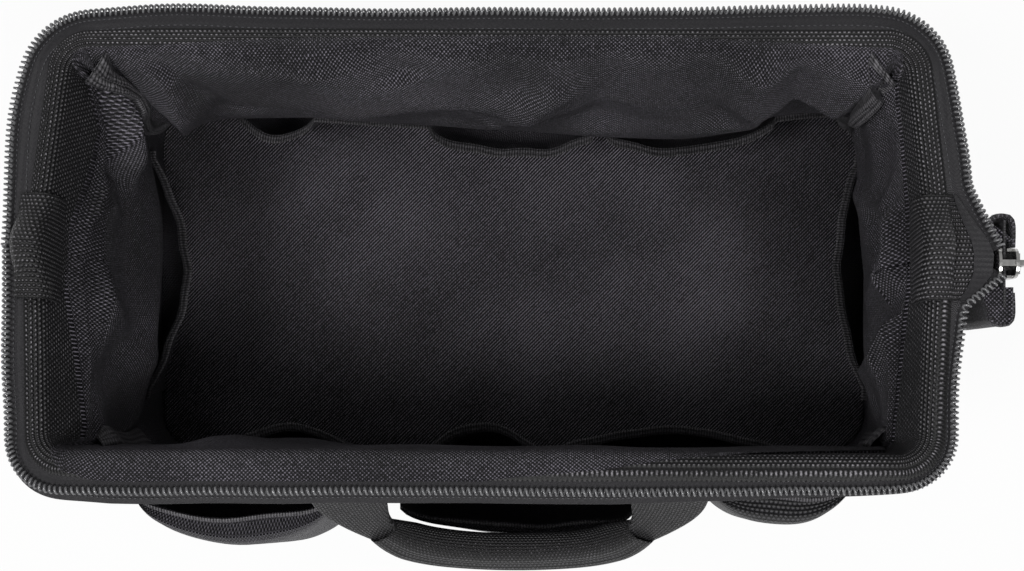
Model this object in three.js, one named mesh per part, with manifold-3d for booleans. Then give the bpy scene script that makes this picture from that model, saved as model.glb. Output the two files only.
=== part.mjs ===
// Gate-mouth tool bag in black woven cloth, standing open. A steel frame of two U-shaped
// halves, hinged at the ends, runs in webbing sleeves round the mouth and folds up to shut it.
// Units are millimetres. +Z is up, +X runs along the bag to the zip's open end, -Y is the front,
// and the origin is the middle of the underside.
import * as THREE from 'three';
import { mergeVertices } from 'three/addons/utils/BufferGeometryUtils.js';
import Module from 'manifold-3d';

const wasm = await Module();
wasm.setup();

// Mouth frame
const HINGE_HEIGHT = 195;
const MOUTH_TILT = 8;
const HINGE_HALF = 200.5;
const CORNER_TAPER = 8;
const GATE_DEPTH = 102;
const GATE_RADIUS = 26;
const ROD_RADIUS = 2.5;
const ROD_INSET = 13.75;
const ROD_DROP = 10;
const ROD_START = 8;
const EYE_RADIUS = 6;
const EYE_THICKNESS = 2;
const RIVET_RADIUS = 2;
const RIVET_HEAD_RADIUS = 4;
const RIVET_HEAD = 1.4;

// Webbing sleeve over the frame
const SLEEVE_START = 16;
const SLEEVE_HEIGHT = 38;
const SLEEVE_THICKNESS = 6.5;
const SLEEVE_HEM = 2.5;
const SLEEVE_LEAN = 4;
const WEB_THICKNESS = 1.6;

// Zip
const COIL_WIDTH = 4;
const COIL_HEIGHT = 3;
const COIL_TOOTH = 2.2;
const COIL_PITCH = 4.4;
const MEET_GAP = 0.5;
const TAPE_THICKNESS = 1;
const TAPE_REACH = 11.7;
const TAPE_EDGE = 0.8;
const LEAD_LEAVES = 26;
const TAPE_FACET = 12;
const TAIL_STANDOFF = 14.5;
const TAIL_Y = -6.5;
const TAIL_LENGTH = 52;
const TAIL_HALF_WIDTH = 18;
const TAIL_SLOT = 34;
const TAIL_COIL_WIDTH = 2.7;
const TAIL_COIL_HEIGHT = 2.4;
const SLIDER_LENGTH = 15;
const SLIDER_TOP_HALF = 6.2;
const SLIDER_FOOT_HALF = 5;
const SLIDER_PLATE = 1.2;
const SLIDER_DROP = 1.5;
const SLIDER_TRAVEL = 22;
const POST_HALF = 1.3;
const BRIDGE_LENGTH = 11;
const BRIDGE_START = 1.5;
const BRIDGE_RISE = 4.2;
const BRIDGE_WIDTH = 2.4;
const BRIDGE_BAR = 1.6;
const PULL_THICKNESS = 1.8;
const PULL_LENGTH = 34;
const PULL_WIDTH = 8.6;
const PULL_HOLE_UP = 7;
const TAB_HALF_WIDTH = 23;
const TAB_CLOTH = 1.6;

// Body
const BASE_END_INSET = 5.9;
const BASE_SIDE_INSET = 6.4;
const BASE_RADIUS = 22;
const WALL = 2.4;
const PANEL_CLOTH = 2;
const BOARD = 3;
const LINING = 1.6;
const WALL_INSET = 19.5;
const SAG_REAR = 12;
const SAG_LEFT = 8;
const SAG_FRONT = -3;
const SAG_RIGHT = 6;

// Pockets: a top is given as a part of the wall's height. Inner pockets start and end at parts of
// their wall's half-length, and outer ones beside the handle straps.
const POCKET_CLOTH = 1.2;
const BINDING_HEIGHT = 0.03;
const BINDING_PROUD = 0.8;
const POCKET_DIP = 0.03;
const LONG_END_MARGIN = 1.6;
const SHORT_END_MARGIN = 11.6;
const INNER_TOP = 0.46;
const INNER_POCKET_DEPTH = 12;
const REAR_POCKETS = [[-0.965, -0.614], [-0.34, 0.275], [0.31, 0.82]];
const FRONT_POCKETS = [[-0.82, -0.456], [-0.21, 0.094], [0.164, 0.82]];
const LEFT_POCKETS = [[-0.93, 0.93]];
const RIGHT_POCKETS = [[-0.9, 0.9]];
const FRONT_OUTER_TOP = 0.78;
const FRONT_OUTER_DEPTH = 30;
const MESH_POCKET_DEPTH = 24;
const REAR_OUTER_TOP = 0.58;
const REAR_OUTER_DEPTH = 12;
const OUTER_POCKET_MARGIN = 2.5;
const STRAP_MARGIN = 1;

// Handles
const HANDLE_WEB = 32;
const HANDLE_HALF = 68.5;
const HANDLE_REACH = 66;
const FRONT_HANDLE_X = 9.5;
const REAR_HANDLE_X = 0;
const FRONT_HANDLE_DROP = 55;
const REAR_HANDLE_DROP = 90;
const HANDLE_HEIGHT = -12;
const HANDLE_STANDOFF = 1.15;
const HANDLE_CORE_WIDTH = 15;
const HANDLE_CORE_THICKNESS = 5;
const GRIP_WIDTH = 22;
const GRIP_THICKNESS = 15;
const GRIP_HALF_TURN = 52;

// Clearances
const TOUCH = 0.3;
const CLOTH_GAP = 0.5;
const RUNNING = 0.3;
const SEAM_GAP = 0.3;
const SLEEVE_TO_WALL = 0.8;

// Values that follow from the sizes above
const radians = THREE.MathUtils.degToRad;
const lerp = THREE.MathUtils.lerp;
const CORNER_HALF = HINGE_HALF - CORNER_TAPER;
const BASE_HALF_LENGTH = HINGE_HALF - BASE_END_INSET;
const BASE_HALF_WIDTH = GATE_DEPTH - BASE_SIDE_INSET;
const LONG_REACH = BASE_HALF_LENGTH - BASE_RADIUS - LONG_END_MARGIN;
const SHORT_REACH = BASE_HALF_WIDTH - BASE_RADIUS - SHORT_END_MARGIN;
const TAIL_X = HINGE_HALF + TAIL_STANDOFF;
const COIL_TOP = -MEET_GAP;
const TAPE_TOP = COIL_TOP - COIL_HEIGHT - TOUCH;
const SLEEVE_TOP = TAPE_TOP - TAPE_THICKNESS - TOUCH;
const SLEEVE_FOOT = SLEEVE_TOP - SLEEVE_HEIGHT;
const WALL_TOP = SLEEVE_FOOT - SLEEVE_TO_WALL;
const BOARD_BOTTOM = PANEL_CLOTH + TOUCH;
const LINING_BOTTOM = BOARD_BOTTOM + BOARD + TOUCH;
const FLOOR_TOP = LINING_BOTTOM + LINING + TOUCH;
const STRAP_BACK = WALL + CLOTH_GAP + POCKET_CLOTH + CLOTH_GAP;
const STRAP_FACE = STRAP_BACK + WEB_THICKNESS;

const paint = (color, roughness, metalness = 0) =>
  new THREE.MeshStandardMaterial({ color, roughness, metalness });
const CLOTH = paint(0x37363c, 0.9);
const LINING_CLOTH = paint(0x2d2c30, 0.9);
const WEBBING = paint(0x343337, 0.8);
const BINDING = paint(0x2a292d, 0.85);
const MESH_CLOTH = paint(0x3a393e, 0.85);
const BOARD_STOCK = paint(0x6b6a66, 0.9);
const COIL_NYLON = paint(0x4a4a4e, 0.4);
const FRAME_STEEL = paint(0x9a9a9a, 0.35, 1);
const NICKEL = paint(0xc9c9c6, 0.25, 1);

const bag = new THREE.Group();

function add(group, name, geometry, material) {
  const mesh = new THREE.Mesh(geometry, material);
  mesh.name = name;
  group.add(mesh);
}

// A closed body from its points and triangles, turned so that its faces point out.
function body(points, triangles) {
  const cross = new THREE.Vector3();
  let volume = 0;
  for (const [a, b, c] of triangles) {
    volume += points[a].dot(cross.crossVectors(points[b], points[c]));
  }
  const index = volume < 0 ? triangles.map(([a, b, c]) => [a, c, b]) : triangles;
  const geometry = new THREE.BufferGeometry();
  geometry.setAttribute('position', new THREE.Float32BufferAttribute(points.flatMap((p) => p.toArray()), 3));
  geometry.setIndex(index.flat());
  return geometry;
}

// Loops of points, one for each station along a path, joined in order and capped at both ends.
function loft(loops) {
  const around = loops[0].length;
  const triangles = [];
  for (let i = 0; i + 1 < loops.length; i += 1) {
    for (let j = 0; j < around; j += 1) {
      const next = (j + 1) % around;
      const a = i * around + j;
      const b = i * around + next;
      triangles.push([a, b, b + around], [a, b + around, a + around]);
    }
  }
  const last = (loops.length - 1) * around;
  for (let j = 1; j + 1 < around; j += 1) {
    triangles.push([0, j + 1, j], [last, last + j, last + j + 1]);
  }
  return body(loops.flat(), triangles);
}

// A sheet with thickness: two grids of points over the same values of s and t, joined round the edge.
function slab(sValues, tValues, face, back) {
  const rows = sValues.length;
  const columns = tValues.length;
  const grid = (place) => sValues.flatMap((s) => tValues.map((t) => place(s, t)));
  const shift = rows * columns;
  const at = (i, j) => i * columns + j;
  const triangles = [];
  for (let i = 0; i + 1 < rows; i += 1) {
    for (let j = 0; j + 1 < columns; j += 1) {
      const [a, b, c, d] = [at(i, j), at(i + 1, j), at(i + 1, j + 1), at(i, j + 1)];
      triangles.push([a, b, c], [a, c, d]);
      triangles.push([a + shift, c + shift, b + shift], [a + shift, d + shift, c + shift]);
    }
  }
  const rim = [];
  for (let i = 0; i + 1 < rows; i += 1) rim.push(at(i, 0));
  for (let j = 0; j + 1 < columns; j += 1) rim.push(at(rows - 1, j));
  for (let i = rows - 1; i > 0; i -= 1) rim.push(at(i, columns - 1));
  for (let j = columns - 1; j > 0; j -= 1) rim.push(at(0, j));
  rim.forEach((a, k) => {
    const b = rim[(k + 1) % rim.length];
    triangles.push([a, b + shift, b], [a, a + shift, b + shift]);
  });
  return body([...grid(face), ...grid(back)], triangles);
}

function solid(geometry) {
  const bare = new THREE.BufferGeometry();
  bare.setAttribute('position', geometry.getAttribute('position').clone());
  if (geometry.index) bare.setIndex(geometry.index.clone());
  const merged = mergeVertices(bare, 1e-4);
  return new wasm.Manifold(new wasm.Mesh({
    numProp: 3,
    vertProperties: merged.getAttribute('position').array,
    triVerts: new Uint32Array(merged.index.array),
  }));
}

function unsolid(manifold) {
  const mesh = manifold.getMesh();
  const geometry = new THREE.BufferGeometry();
  geometry.setAttribute('position', new THREE.BufferAttribute(mesh.vertProperties, 3));
  geometry.setIndex(new THREE.BufferAttribute(mesh.triVerts, 1));
  return geometry;
}

const join = (first, ...others) => unsolid(others.reduce((sum, other) => sum.add(solid(other)), solid(first)));
const cut = (first, ...others) => unsolid(others.reduce((sum, other) => sum.subtract(solid(other)), solid(first)));

function box([x0, x1], [y0, y1], [z0, z1]) {
  const geometry = new THREE.BoxGeometry(x1 - x0, y1 - y0, z1 - z0);
  return geometry.translate((x0 + x1) / 2, (y0 + y1) / 2, (z0 + z1) / 2);
}

// A shape drawn in Y and Z, given a thickness along X from x0 to x1.
function crossPlate(shape, [x0, x1], curveSegments = 6) {
  const geometry = new THREE.ExtrudeGeometry(shape, { depth: x1 - x0, bevelEnabled: false, curveSegments });
  const [xAxis, yAxis, zAxis] = [new THREE.Vector3(1, 0, 0), new THREE.Vector3(0, 1, 0), new THREE.Vector3(0, 0, 1)];
  return geometry.applyMatrix4(new THREE.Matrix4().makeBasis(yAxis, zAxis, xAxis)).translate(x0, 0, 0);
}

const steps = (from, to, count) => Array.from({ length: count + 1 }, (_, i) => lerp(from, to, i / count));

// An outline is given by the centre and radius of its corners and the slope of its ends.
function gateOutline(inset) {
  const slope = Math.atan2(HINGE_HALF - CORNER_HALF, GATE_DEPTH);
  const centreY = GATE_DEPTH - GATE_RADIUS;
  const centreX = HINGE_HALF - (GATE_RADIUS + centreY * Math.sin(slope)) / Math.cos(slope);
  return { centreX, centreY, radius: GATE_RADIUS - inset, slope };
}

function baseOutline(inset) {
  return {
    centreX: BASE_HALF_LENGTH - BASE_RADIUS,
    centreY: BASE_HALF_WIDTH - BASE_RADIUS,
    radius: BASE_RADIUS - inset,
    slope: 0,
  };
}

const endX = ({ centreX, centreY, radius, slope }, y) =>
  centreX + (radius - (y - centreY) * Math.sin(slope)) / Math.cos(slope);

// Round one quarter of an outline: 0 is the middle of the end, 1 the middle of the long side.
const CORNER_FROM = 0.3;
const CORNER_TO = 0.5;
function quarterPoint(outline, walk) {
  const { centreX, centreY, radius, slope } = outline;
  if (walk < CORNER_FROM) {
    const y = (centreY + radius * Math.sin(slope)) * (walk / CORNER_FROM);
    return { x: endX(outline, y), y, outX: Math.cos(slope), outY: Math.sin(slope) };
  }
  if (walk < CORNER_TO) {
    const turn = lerp(slope, Math.PI / 2, (walk - CORNER_FROM) / (CORNER_TO - CORNER_FROM));
    const [outX, outY] = [Math.cos(turn), Math.sin(turn)];
    return { x: centreX + radius * outX, y: centreY + radius * outY, outX, outY };
  }
  return { x: centreX * ((1 - walk) / (1 - CORNER_TO)), y: centreY + radius, outX: 0, outY: 1 };
}

// Round the whole bag, anticlockwise from above: 0 is the right end, 1 the rear, 2 the left end, 3 the front.
function ringPoint(outline, s) {
  const turn = ((s % 4) + 4) % 4;
  const quarter = Math.floor(turn);
  const part = turn - quarter;
  const point = quarterPoint(outline, quarter % 2 === 0 ? part : 1 - part);
  const signX = quarter === 1 || quarter === 2 ? -1 : 1;
  const signY = quarter >= 2 ? -1 : 1;
  return { x: signX * point.x, y: signY * point.y, outX: signX * point.outX, outY: signY * point.outY };
}

// From the tilted plane of the open mouth, whose X axis is the frame's pivot, to the bag's own frame.
function fromMouth(x, y, z) {
  const point = new THREE.Vector3(x, y, z).applyAxisAngle(new THREE.Vector3(1, 0, 0), -radians(MOUTH_TILT));
  point.z += HINGE_HEIGHT;
  return point;
}

// The four sides of the body between their corner seams.
const SIDES = {
  right: { from: -0.4, to: 0.4, sag: SAG_RIGHT },
  rear: { from: 0.4, to: 1.6, sag: SAG_REAR },
  left: { from: 1.6, to: 2.4, sag: SAG_LEFT },
  front: { from: 2.4, to: 3.6, sag: SAG_FRONT },
};

// A point on a wall: s goes round the bag, rise goes from 0 at the floor's top to 1 under the sleeve,
// and out is measured outwards from the wall's inner face. At -1 it is straight below, under the board.
function wallPoint(side, s, rise, out) {
  const foot = ringPoint(baseOutline(0), s);
  const head = ringPoint(gateOutline(WALL_INSET), s);
  const up = Math.max(rise, 0);
  const point = new THREE.Vector3(foot.x, foot.y, FLOOR_TOP);
  point.lerp(fromMouth(head.x, head.y, WALL_TOP), up);
  point.z += Math.min(rise, 0) * (FLOOR_TOP - BOARD_BOTTOM);
  const outward = new THREE.Vector3(lerp(foot.outX, head.outX, up), lerp(foot.outY, head.outY, up), 0);
  const along = THREE.MathUtils.euclideanModulo(s - side.from, 4) / (side.to - side.from);
  const sag = side.sag * Math.sin(Math.PI * up) * Math.sin(Math.PI * along);
  return point.addScaledVector(outward.normalize(), out - sag);
}

// Bottom: outer cloth, stiffening board and lining, one on the other
function floorLayer(inset, bottom, thickness) {
  const outline = baseOutline(inset);
  const stations = [0, 1, 2, 3].flatMap((quarter) => [0.3, 0.35, 0.4, 0.45, 0.5].map(
    (walk) => (quarter % 2 === 0 ? quarter + walk : quarter + 1 - walk)));
  stations.sort((a, b) => a - b);
  const points = stations.map((s) => ringPoint(outline, s)).map(({ x, y }) => new THREE.Vector2(x, y));
  const geometry = new THREE.ExtrudeGeometry(new THREE.Shape(points), { depth: thickness, bevelEnabled: false });
  return geometry.translate(0, 0, bottom);
}

add(bag, 'bottom_panel', floorLayer(-WALL, 0, PANEL_CLOTH), CLOTH);
add(bag, 'base_board', floorLayer(TOUCH, BOARD_BOTTOM, BOARD), BOARD_STOCK);
add(bag, 'floor_lining', floorLayer(TOUCH, LINING_BOTTOM, LINING), LINING_CLOTH);

// Walls: each is one sagging panel from corner seam to corner seam
const CORNER_ARC = (GATE_RADIUS - WALL_INSET) * (Math.PI / 2) / (CORNER_TO - CORNER_FROM);
const SEAM_STEP = SEAM_GAP / 2 / CORNER_ARC;
const LONG_WALL = [0, 0.05, ...steps(0.1, 0.6, 11)];
const END_WALL = [0, 0.05, ...steps(0.1, 0.4, 4)];

// All the cloth on a wall is divided at the same heights, so that it lies flat on it.
const RISES = [0, 0.06, 0.14, 0.28, INNER_TOP, REAR_OUTER_TOP, 0.68, FRONT_OUTER_TOP, 0.9, 1];
const risesBetween = (from, to) => [from, ...RISES.filter((rise) => rise > from && rise < to), to];

function wallStations({ from, to }, half) {
  const middle = (from + to) / 2;
  const ends = half.map((offset) => Math.max(from + offset, from + SEAM_STEP)).filter((s) => s < middle);
  return [...ends, middle, ...ends.map((s) => 2 * middle - s).reverse()];
}

function wall(side, half) {
  return slab(wallStations(side, half), [-1, ...RISES],
    (s, rise) => wallPoint(side, s, rise, WALL), (s, rise) => wallPoint(side, s, rise, 0));
}

add(bag, 'rear_wall', wall(SIDES.rear, LONG_WALL), CLOTH);
add(bag, 'front_wall', wall(SIDES.front, LONG_WALL), CLOTH);
add(bag, 'left_end_wall', wall(SIDES.left, END_WALL), CLOTH);
add(bag, 'right_end_wall', wall(SIDES.right, END_WALL), CLOTH);

// Tapes bound over the raw edges of the corner seams, above the pockets
const SEAM_TAPE_HALF = 0.04;
function cornerTape(before, after, seam) {
  const stations = [-SEAM_TAPE_HALF, 0, SEAM_TAPE_HALF].map((offset) => seam + offset);
  const place = (s, rise, out) => wallPoint(s < seam ? before : after, s, rise, out);
  return slab(stations, risesBetween(INNER_TOP + 2 * BINDING_HEIGHT, 0.98),
    (s, rise) => place(s, rise, -CLOTH_GAP), (s, rise) => place(s, rise, -CLOTH_GAP - POCKET_CLOTH));
}

add(bag, 'corner_tape_rear_right', cornerTape(SIDES.right, SIDES.rear, 0.4), BINDING);
add(bag, 'corner_tape_rear_left', cornerTape(SIDES.rear, SIDES.left, 1.6), BINDING);
add(bag, 'corner_tape_front_left', cornerTape(SIDES.left, SIDES.front, 2.4), BINDING);
add(bag, 'corner_tape_front_right', cornerTape(SIDES.front, SIDES.right, 3.6), BINDING);

// Where a place along a wall lies on the ring: x along the long walls, y along the ends.
const longPart = (x) => (x / baseOutline(0).centreX) * (1 - CORNER_TO);
const endPart = (y) => (y / baseOutline(0).centreY) * CORNER_FROM;
const RING_OF = {
  rear: (x) => 1 - longPart(x),
  front: (x) => 3 + longPart(x),
  left: (y) => 2 - endPart(y),
  right: (y) => endPart(y),
};

// A row of pockets on one face of a wall. The cloth lies on the wall between the pockets and
// stands away from it by depth * sin(pi * place in the pocket), drawn in again towards its foot.
const POCKET_STEPS = 7;
const LONGEST_STEP = 16;
function pocketRow({ sideName, cells, ends, top, depth, inside }) {
  const side = SIDES[sideName];
  const ring = RING_OF[sideName];
  const edges = [ends[0], ...cells.flat(), ends[1]];
  const places = edges.slice(1).flatMap((edge, i) => steps(edges[i], edge,
    i % 2 === 1 ? POCKET_STEPS : Math.ceil((edge - edges[i]) / LONGEST_STEP)));
  const stations = [...new Set(places.map(ring))].sort((a, b) => a - b);
  const spans = cells.map((cell) => cell.map(ring).sort((a, b) => a - b));
  const fullness = (s) => {
    const span = spans.find(([a, b]) => s > a && s < b);
    return span ? Math.sin(Math.PI * ((s - span[0]) / (span[1] - span[0]))) : 0;
  };
  const swell = (rise) => Math.sin((Math.PI / 2) * Math.min(1, rise / top / 0.5));
  const rest = inside ? -CLOTH_GAP : WALL + CLOTH_GAP;
  const away = inside ? -1 : 1;
  const out = (s, rise, extra) => rest + away * (depth * fullness(s) * swell(rise) + extra);
  const dipped = (s, rise) => rise * (1 - POCKET_DIP * fullness(s));
  const panelPoint = (extra) => (s, rise) => wallPoint(side, s, dipped(s, rise), out(s, rise, extra));
  const bindingPoint = (extra) => (s, rise) => wallPoint(side, s,
    dipped(s, top) + TOUCH / 150 + rise * BINDING_HEIGHT, out(s, top, extra(fullness(s))));
  return {
    panel: slab(stations, risesBetween(0, top), panelPoint(0), panelPoint(POCKET_CLOTH)),
    binding: slab(stations, [0, 1], bindingPoint(() => 0), bindingPoint((f) => POCKET_CLOTH + BINDING_PROUD * f)),
  };
}

for (const [sideName, parts, reach] of [
  ['rear', REAR_POCKETS, LONG_REACH],
  ['front', FRONT_POCKETS, LONG_REACH],
  ['left', LEFT_POCKETS, SHORT_REACH],
  ['right', RIGHT_POCKETS, SHORT_REACH],
]) {
  const row = pocketRow({
    sideName,
    cells: parts.map((cell) => cell.map((part) => part * reach)),
    ends: [-reach, reach],
    top: INNER_TOP,
    depth: INNER_POCKET_DEPTH,
    inside: true,
  });
  add(bag, `${sideName}_inner_pockets`, row.panel, LINING_CLOTH);
  add(bag, `${sideName}_inner_binding`, row.binding, BINDING);
}

const FRONT_STRAPS = [FRONT_HANDLE_X - HANDLE_HALF, FRONT_HANDLE_X + HANDLE_HALF];
const REAR_STRAPS = [REAR_HANDLE_X - HANDLE_HALF, REAR_HANDLE_X + HANDLE_HALF];
const beforeStrap = (centre) => centre - HANDLE_WEB / 2 - STRAP_MARGIN;
const afterStrap = (centre) => centre + HANDLE_WEB / 2 + STRAP_MARGIN;
const pocketsAround = ([left, right]) => [
  [-LONG_REACH + OUTER_POCKET_MARGIN, beforeStrap(left)],
  [afterStrap(left), beforeStrap(right)],
  [afterStrap(right) + OUTER_POCKET_MARGIN, LONG_REACH - OUTER_POCKET_MARGIN],
];
const frontCells = pocketsAround(FRONT_STRAPS);
for (const { name, cloth, ...shape } of [
  {
    name: 'front_outer',
    cloth: CLOTH,
    sideName: 'front',
    cells: frontCells.slice(0, 2),
    ends: [-LONG_REACH, afterStrap(FRONT_STRAPS[1])],
    top: FRONT_OUTER_TOP,
    depth: FRONT_OUTER_DEPTH,
  },
  {
    name: 'front_mesh',
    cloth: MESH_CLOTH,
    sideName: 'front',
    cells: frontCells.slice(2),
    ends: [afterStrap(FRONT_STRAPS[1]) + SEAM_GAP, LONG_REACH],
    top: FRONT_OUTER_TOP,
    depth: MESH_POCKET_DEPTH,
  },
  {
    name: 'rear_outer',
    cloth: CLOTH,
    sideName: 'rear',
    cells: pocketsAround(REAR_STRAPS),
    ends: [-LONG_REACH, LONG_REACH],
    top: REAR_OUTER_TOP,
    depth: REAR_OUTER_DEPTH,
  },
]) {
  const row = pocketRow({ ...shape, inside: false });
  add(bag, `${name}_pocket`, row.panel, cloth);
  add(bag, `${name}_binding`, row.binding, BINDING);
}

// Handle straps, sewn up the outside of the long walls and over the pocket cloth
function strap(sideName, x) {
  const side = SIDES[sideName];
  const ring = RING_OF[sideName];
  const stations = steps(x - HANDLE_WEB / 2, x + HANDLE_WEB / 2, 2).map(ring).sort((a, b) => a - b);
  return slab(stations, risesBetween(0, 0.98),
    (s, rise) => wallPoint(side, s, rise, STRAP_FACE), (s, rise) => wallPoint(side, s, rise, STRAP_BACK));
}

add(bag, 'front_strap_left', strap('front', FRONT_STRAPS[0]), WEBBING);
add(bag, 'front_strap_right', strap('front', FRONT_STRAPS[1]), WEBBING);
add(bag, 'rear_strap_left', strap('rear', REAR_STRAPS[0]), WEBBING);
add(bag, 'rear_strap_right', strap('rear', REAR_STRAPS[1]), WEBBING);

// Mouth: everything below is drawn with the frame's pivot as its X axis, then tilted and raised
const mouth = new THREE.Group();
mouth.position.z = HINGE_HEIGHT;
mouth.rotation.x = -radians(MOUTH_TILT);
bag.add(mouth);

// Stations round one gate, each with its place on the rim line and the way out from it. The first and
// last are cut square at the same distance from the pivot.
function gateStations(start) {
  const outline = gateOutline(0);
  const arc = steps(outline.slope, Math.PI / 2, 6).map((turn) => ({
    x: outline.centreX + outline.radius * Math.cos(turn),
    y: outline.centreY + outline.radius * Math.sin(turn),
    outX: Math.cos(turn),
    outY: Math.sin(turn),
  }));
  const first = { x: endX(outline, start), y: start, outX: 1 / Math.cos(outline.slope), outY: 0 };
  const right = [first, ...arc];
  const left = right.map((p) => ({ ...p, x: -p.x, outX: -p.outX })).reverse();
  return [...right, ...left];
}

// A section given as pairs of (distance out from the rim line, height), carried round a gate.
function carryRound(stations, section) {
  return loft(stations.map(({ x, y, outX, outY }, i) =>
    section(i).map(([out, z]) => new THREE.Vector3(x + outX * out, y + outY * out, z))));
}

const circleSection = (radius, sides) => steps(0, 2 * Math.PI, sides).slice(0, sides)
  .map((turn) => [-ROD_INSET + radius * Math.cos(turn), -ROD_DROP + radius * Math.sin(turn)]);

// The sleeve's outer face at a height below the pivot, measured out from the rim line.
const SLEEVE_OUT = -ROD_INSET + SLEEVE_THICKNESS / 2;
const SLEEVE_NECK = -ROD_DROP - ROD_RADIUS - TOUCH;
function sleeveFace(z) {
  const part = THREE.MathUtils.clamp((SLEEVE_NECK - z) / (SLEEVE_NECK - SLEEVE_FOOT), 0, 1);
  return SLEEVE_OUT - part * (SLEEVE_LEAN + SLEEVE_THICKNESS - SLEEVE_HEM);
}
const SLEEVE_IN = SLEEVE_OUT - SLEEVE_THICKNESS;
const SLEEVE_SHOULDER = 2.2;
const SLEEVE_SECTION = [
  [SLEEVE_IN, SLEEVE_NECK],
  [sleeveFace(SLEEVE_FOOT) - SLEEVE_HEM, SLEEVE_FOOT],
  [sleeveFace(SLEEVE_FOOT), SLEEVE_FOOT],
  [SLEEVE_OUT, SLEEVE_NECK],
  [SLEEVE_OUT, SLEEVE_TOP - SLEEVE_SHOULDER],
  [SLEEVE_OUT - SLEEVE_SHOULDER / 2, SLEEVE_TOP],
  [SLEEVE_IN + SLEEVE_SHOULDER / 2, SLEEVE_TOP],
  [SLEEVE_IN, SLEEVE_TOP - SLEEVE_SHOULDER],
];

// The hinge: each gate's rod ends in a flat eye, and the two eyes lie side by side on one rivet.
const HINGE_X = endX(gateOutline(ROD_INSET), ROD_START);
const EYE_GAP = RUNNING / 2;
function eye(outer) {
  const reach = ROD_START + 4;
  const lean = Math.atan2(-ROD_DROP, reach);
  const shape = new THREE.Shape();
  shape.absarc(0, 0, EYE_RADIUS, lean + Math.PI / 2, lean + 1.5 * Math.PI, false);
  shape.absarc(reach, -ROD_DROP, ROD_RADIUS + TOUCH, lean - Math.PI / 2, lean + Math.PI / 2, false);
  const hole = new THREE.Path();
  hole.absarc(0, 0, RIVET_RADIUS + RUNNING, 0, 2 * Math.PI, true);
  shape.holes.push(hole);
  const near = outer ? HINGE_X + EYE_GAP : HINGE_X - EYE_GAP - EYE_THICKNESS;
  return [[near, near + EYE_THICKNESS], [-near - EYE_THICKNESS, -near]].map((span) => crossPlate(shape, span));
}

// The line of the zip along one gate. It leaves the rim beside the hinge to meet the slider.
function zipLine(tip, pitch) {
  const outline = gateOutline(0);
  const rim = gateStations(LEAD_LEAVES).slice(0, -1).map(({ x, y }) => new THREE.Vector2(x, y));
  const path = new THREE.Path();
  path.setFromPoints([new THREE.Vector2(TAIL_X - 1, tip), ...rim, new THREE.Vector2(-endX(outline, MEET_GAP), MEET_GAP)]);
  const count = Math.round(path.getLength() / pitch);
  const points = path.getSpacedPoints(count);
  return points.map((point, i) => {
    const along = new THREE.Vector2().subVectors(points[Math.min(i + 1, count)], points[Math.max(i - 1, 0)]).normalize();
    return { x: point.x, y: point.y, outX: along.y, outY: -along.x };
  });
}

// A gate is drawn as the rear one. The front one is the same, turned half round, so its zip end is mirrored.
const mirrored = (stations) => stations.map((p) => ({ ...p, x: -p.x, outX: -p.outX })).reverse();

function coil(stations) {
  return carryRound(stations, (i) => {
    const edge = i % 2 === 0 ? 0 : -COIL_TOOTH;
    const foot = COIL_TOP - COIL_HEIGHT;
    return [[-COIL_WIDTH, foot], [edge, foot], [edge, COIL_TOP], [-COIL_WIDTH, COIL_TOP]];
  });
}

const NOTCH_X = HINGE_X + RUNNING / 2 + EYE_THICKNESS + TOUCH + RIVET_HEAD + 3;
function tape(tip, turned) {
  const outer = zipLine(tip, TAPE_FACET).map(({ x, y, outX, outY }) =>
    new THREE.Vector2(x - outX * TAPE_EDGE, y - outY * TAPE_EDGE));
  const inner = gateStations(SLEEVE_START).map(({ x, y, outX, outY }) => {
    const inset = TAPE_EDGE + TAPE_REACH;
    return new THREE.Vector2(x - outX * inset, y - outY * inset);
  }).reverse();
  const points = [
    ...outer,
    new THREE.Vector2(-NOTCH_X, MEET_GAP),
    new THREE.Vector2(-NOTCH_X, SLEEVE_START),
    ...inner,
    new THREE.Vector2(NOTCH_X, SLEEVE_START),
    new THREE.Vector2(NOTCH_X, tip),
  ];
  const shape = new THREE.Shape(turned ? points.map((p) => new THREE.Vector2(-p.x, p.y)).reverse() : points);
  const geometry = new THREE.ExtrudeGeometry(shape, { depth: TAPE_THICKNESS, bevelEnabled: false });
  return geometry.translate(0, 0, TAPE_TOP - TAPE_THICKNESS);
}

// A square of webbing sewn to the sleeve, which takes the end of a handle.
function handlePatch(x) {
  const face = (extra) => (u, z) => new THREE.Vector3(u, GATE_DEPTH + sleeveFace(z) + TOUCH + extra, z);
  return slab([x - HANDLE_WEB / 2, x + HANDLE_WEB / 2], [SLEEVE_FOOT, SLEEVE_NECK, HANDLE_HEIGHT + 3],
    face(0), face(WEB_THICKNESS));
}

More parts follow.
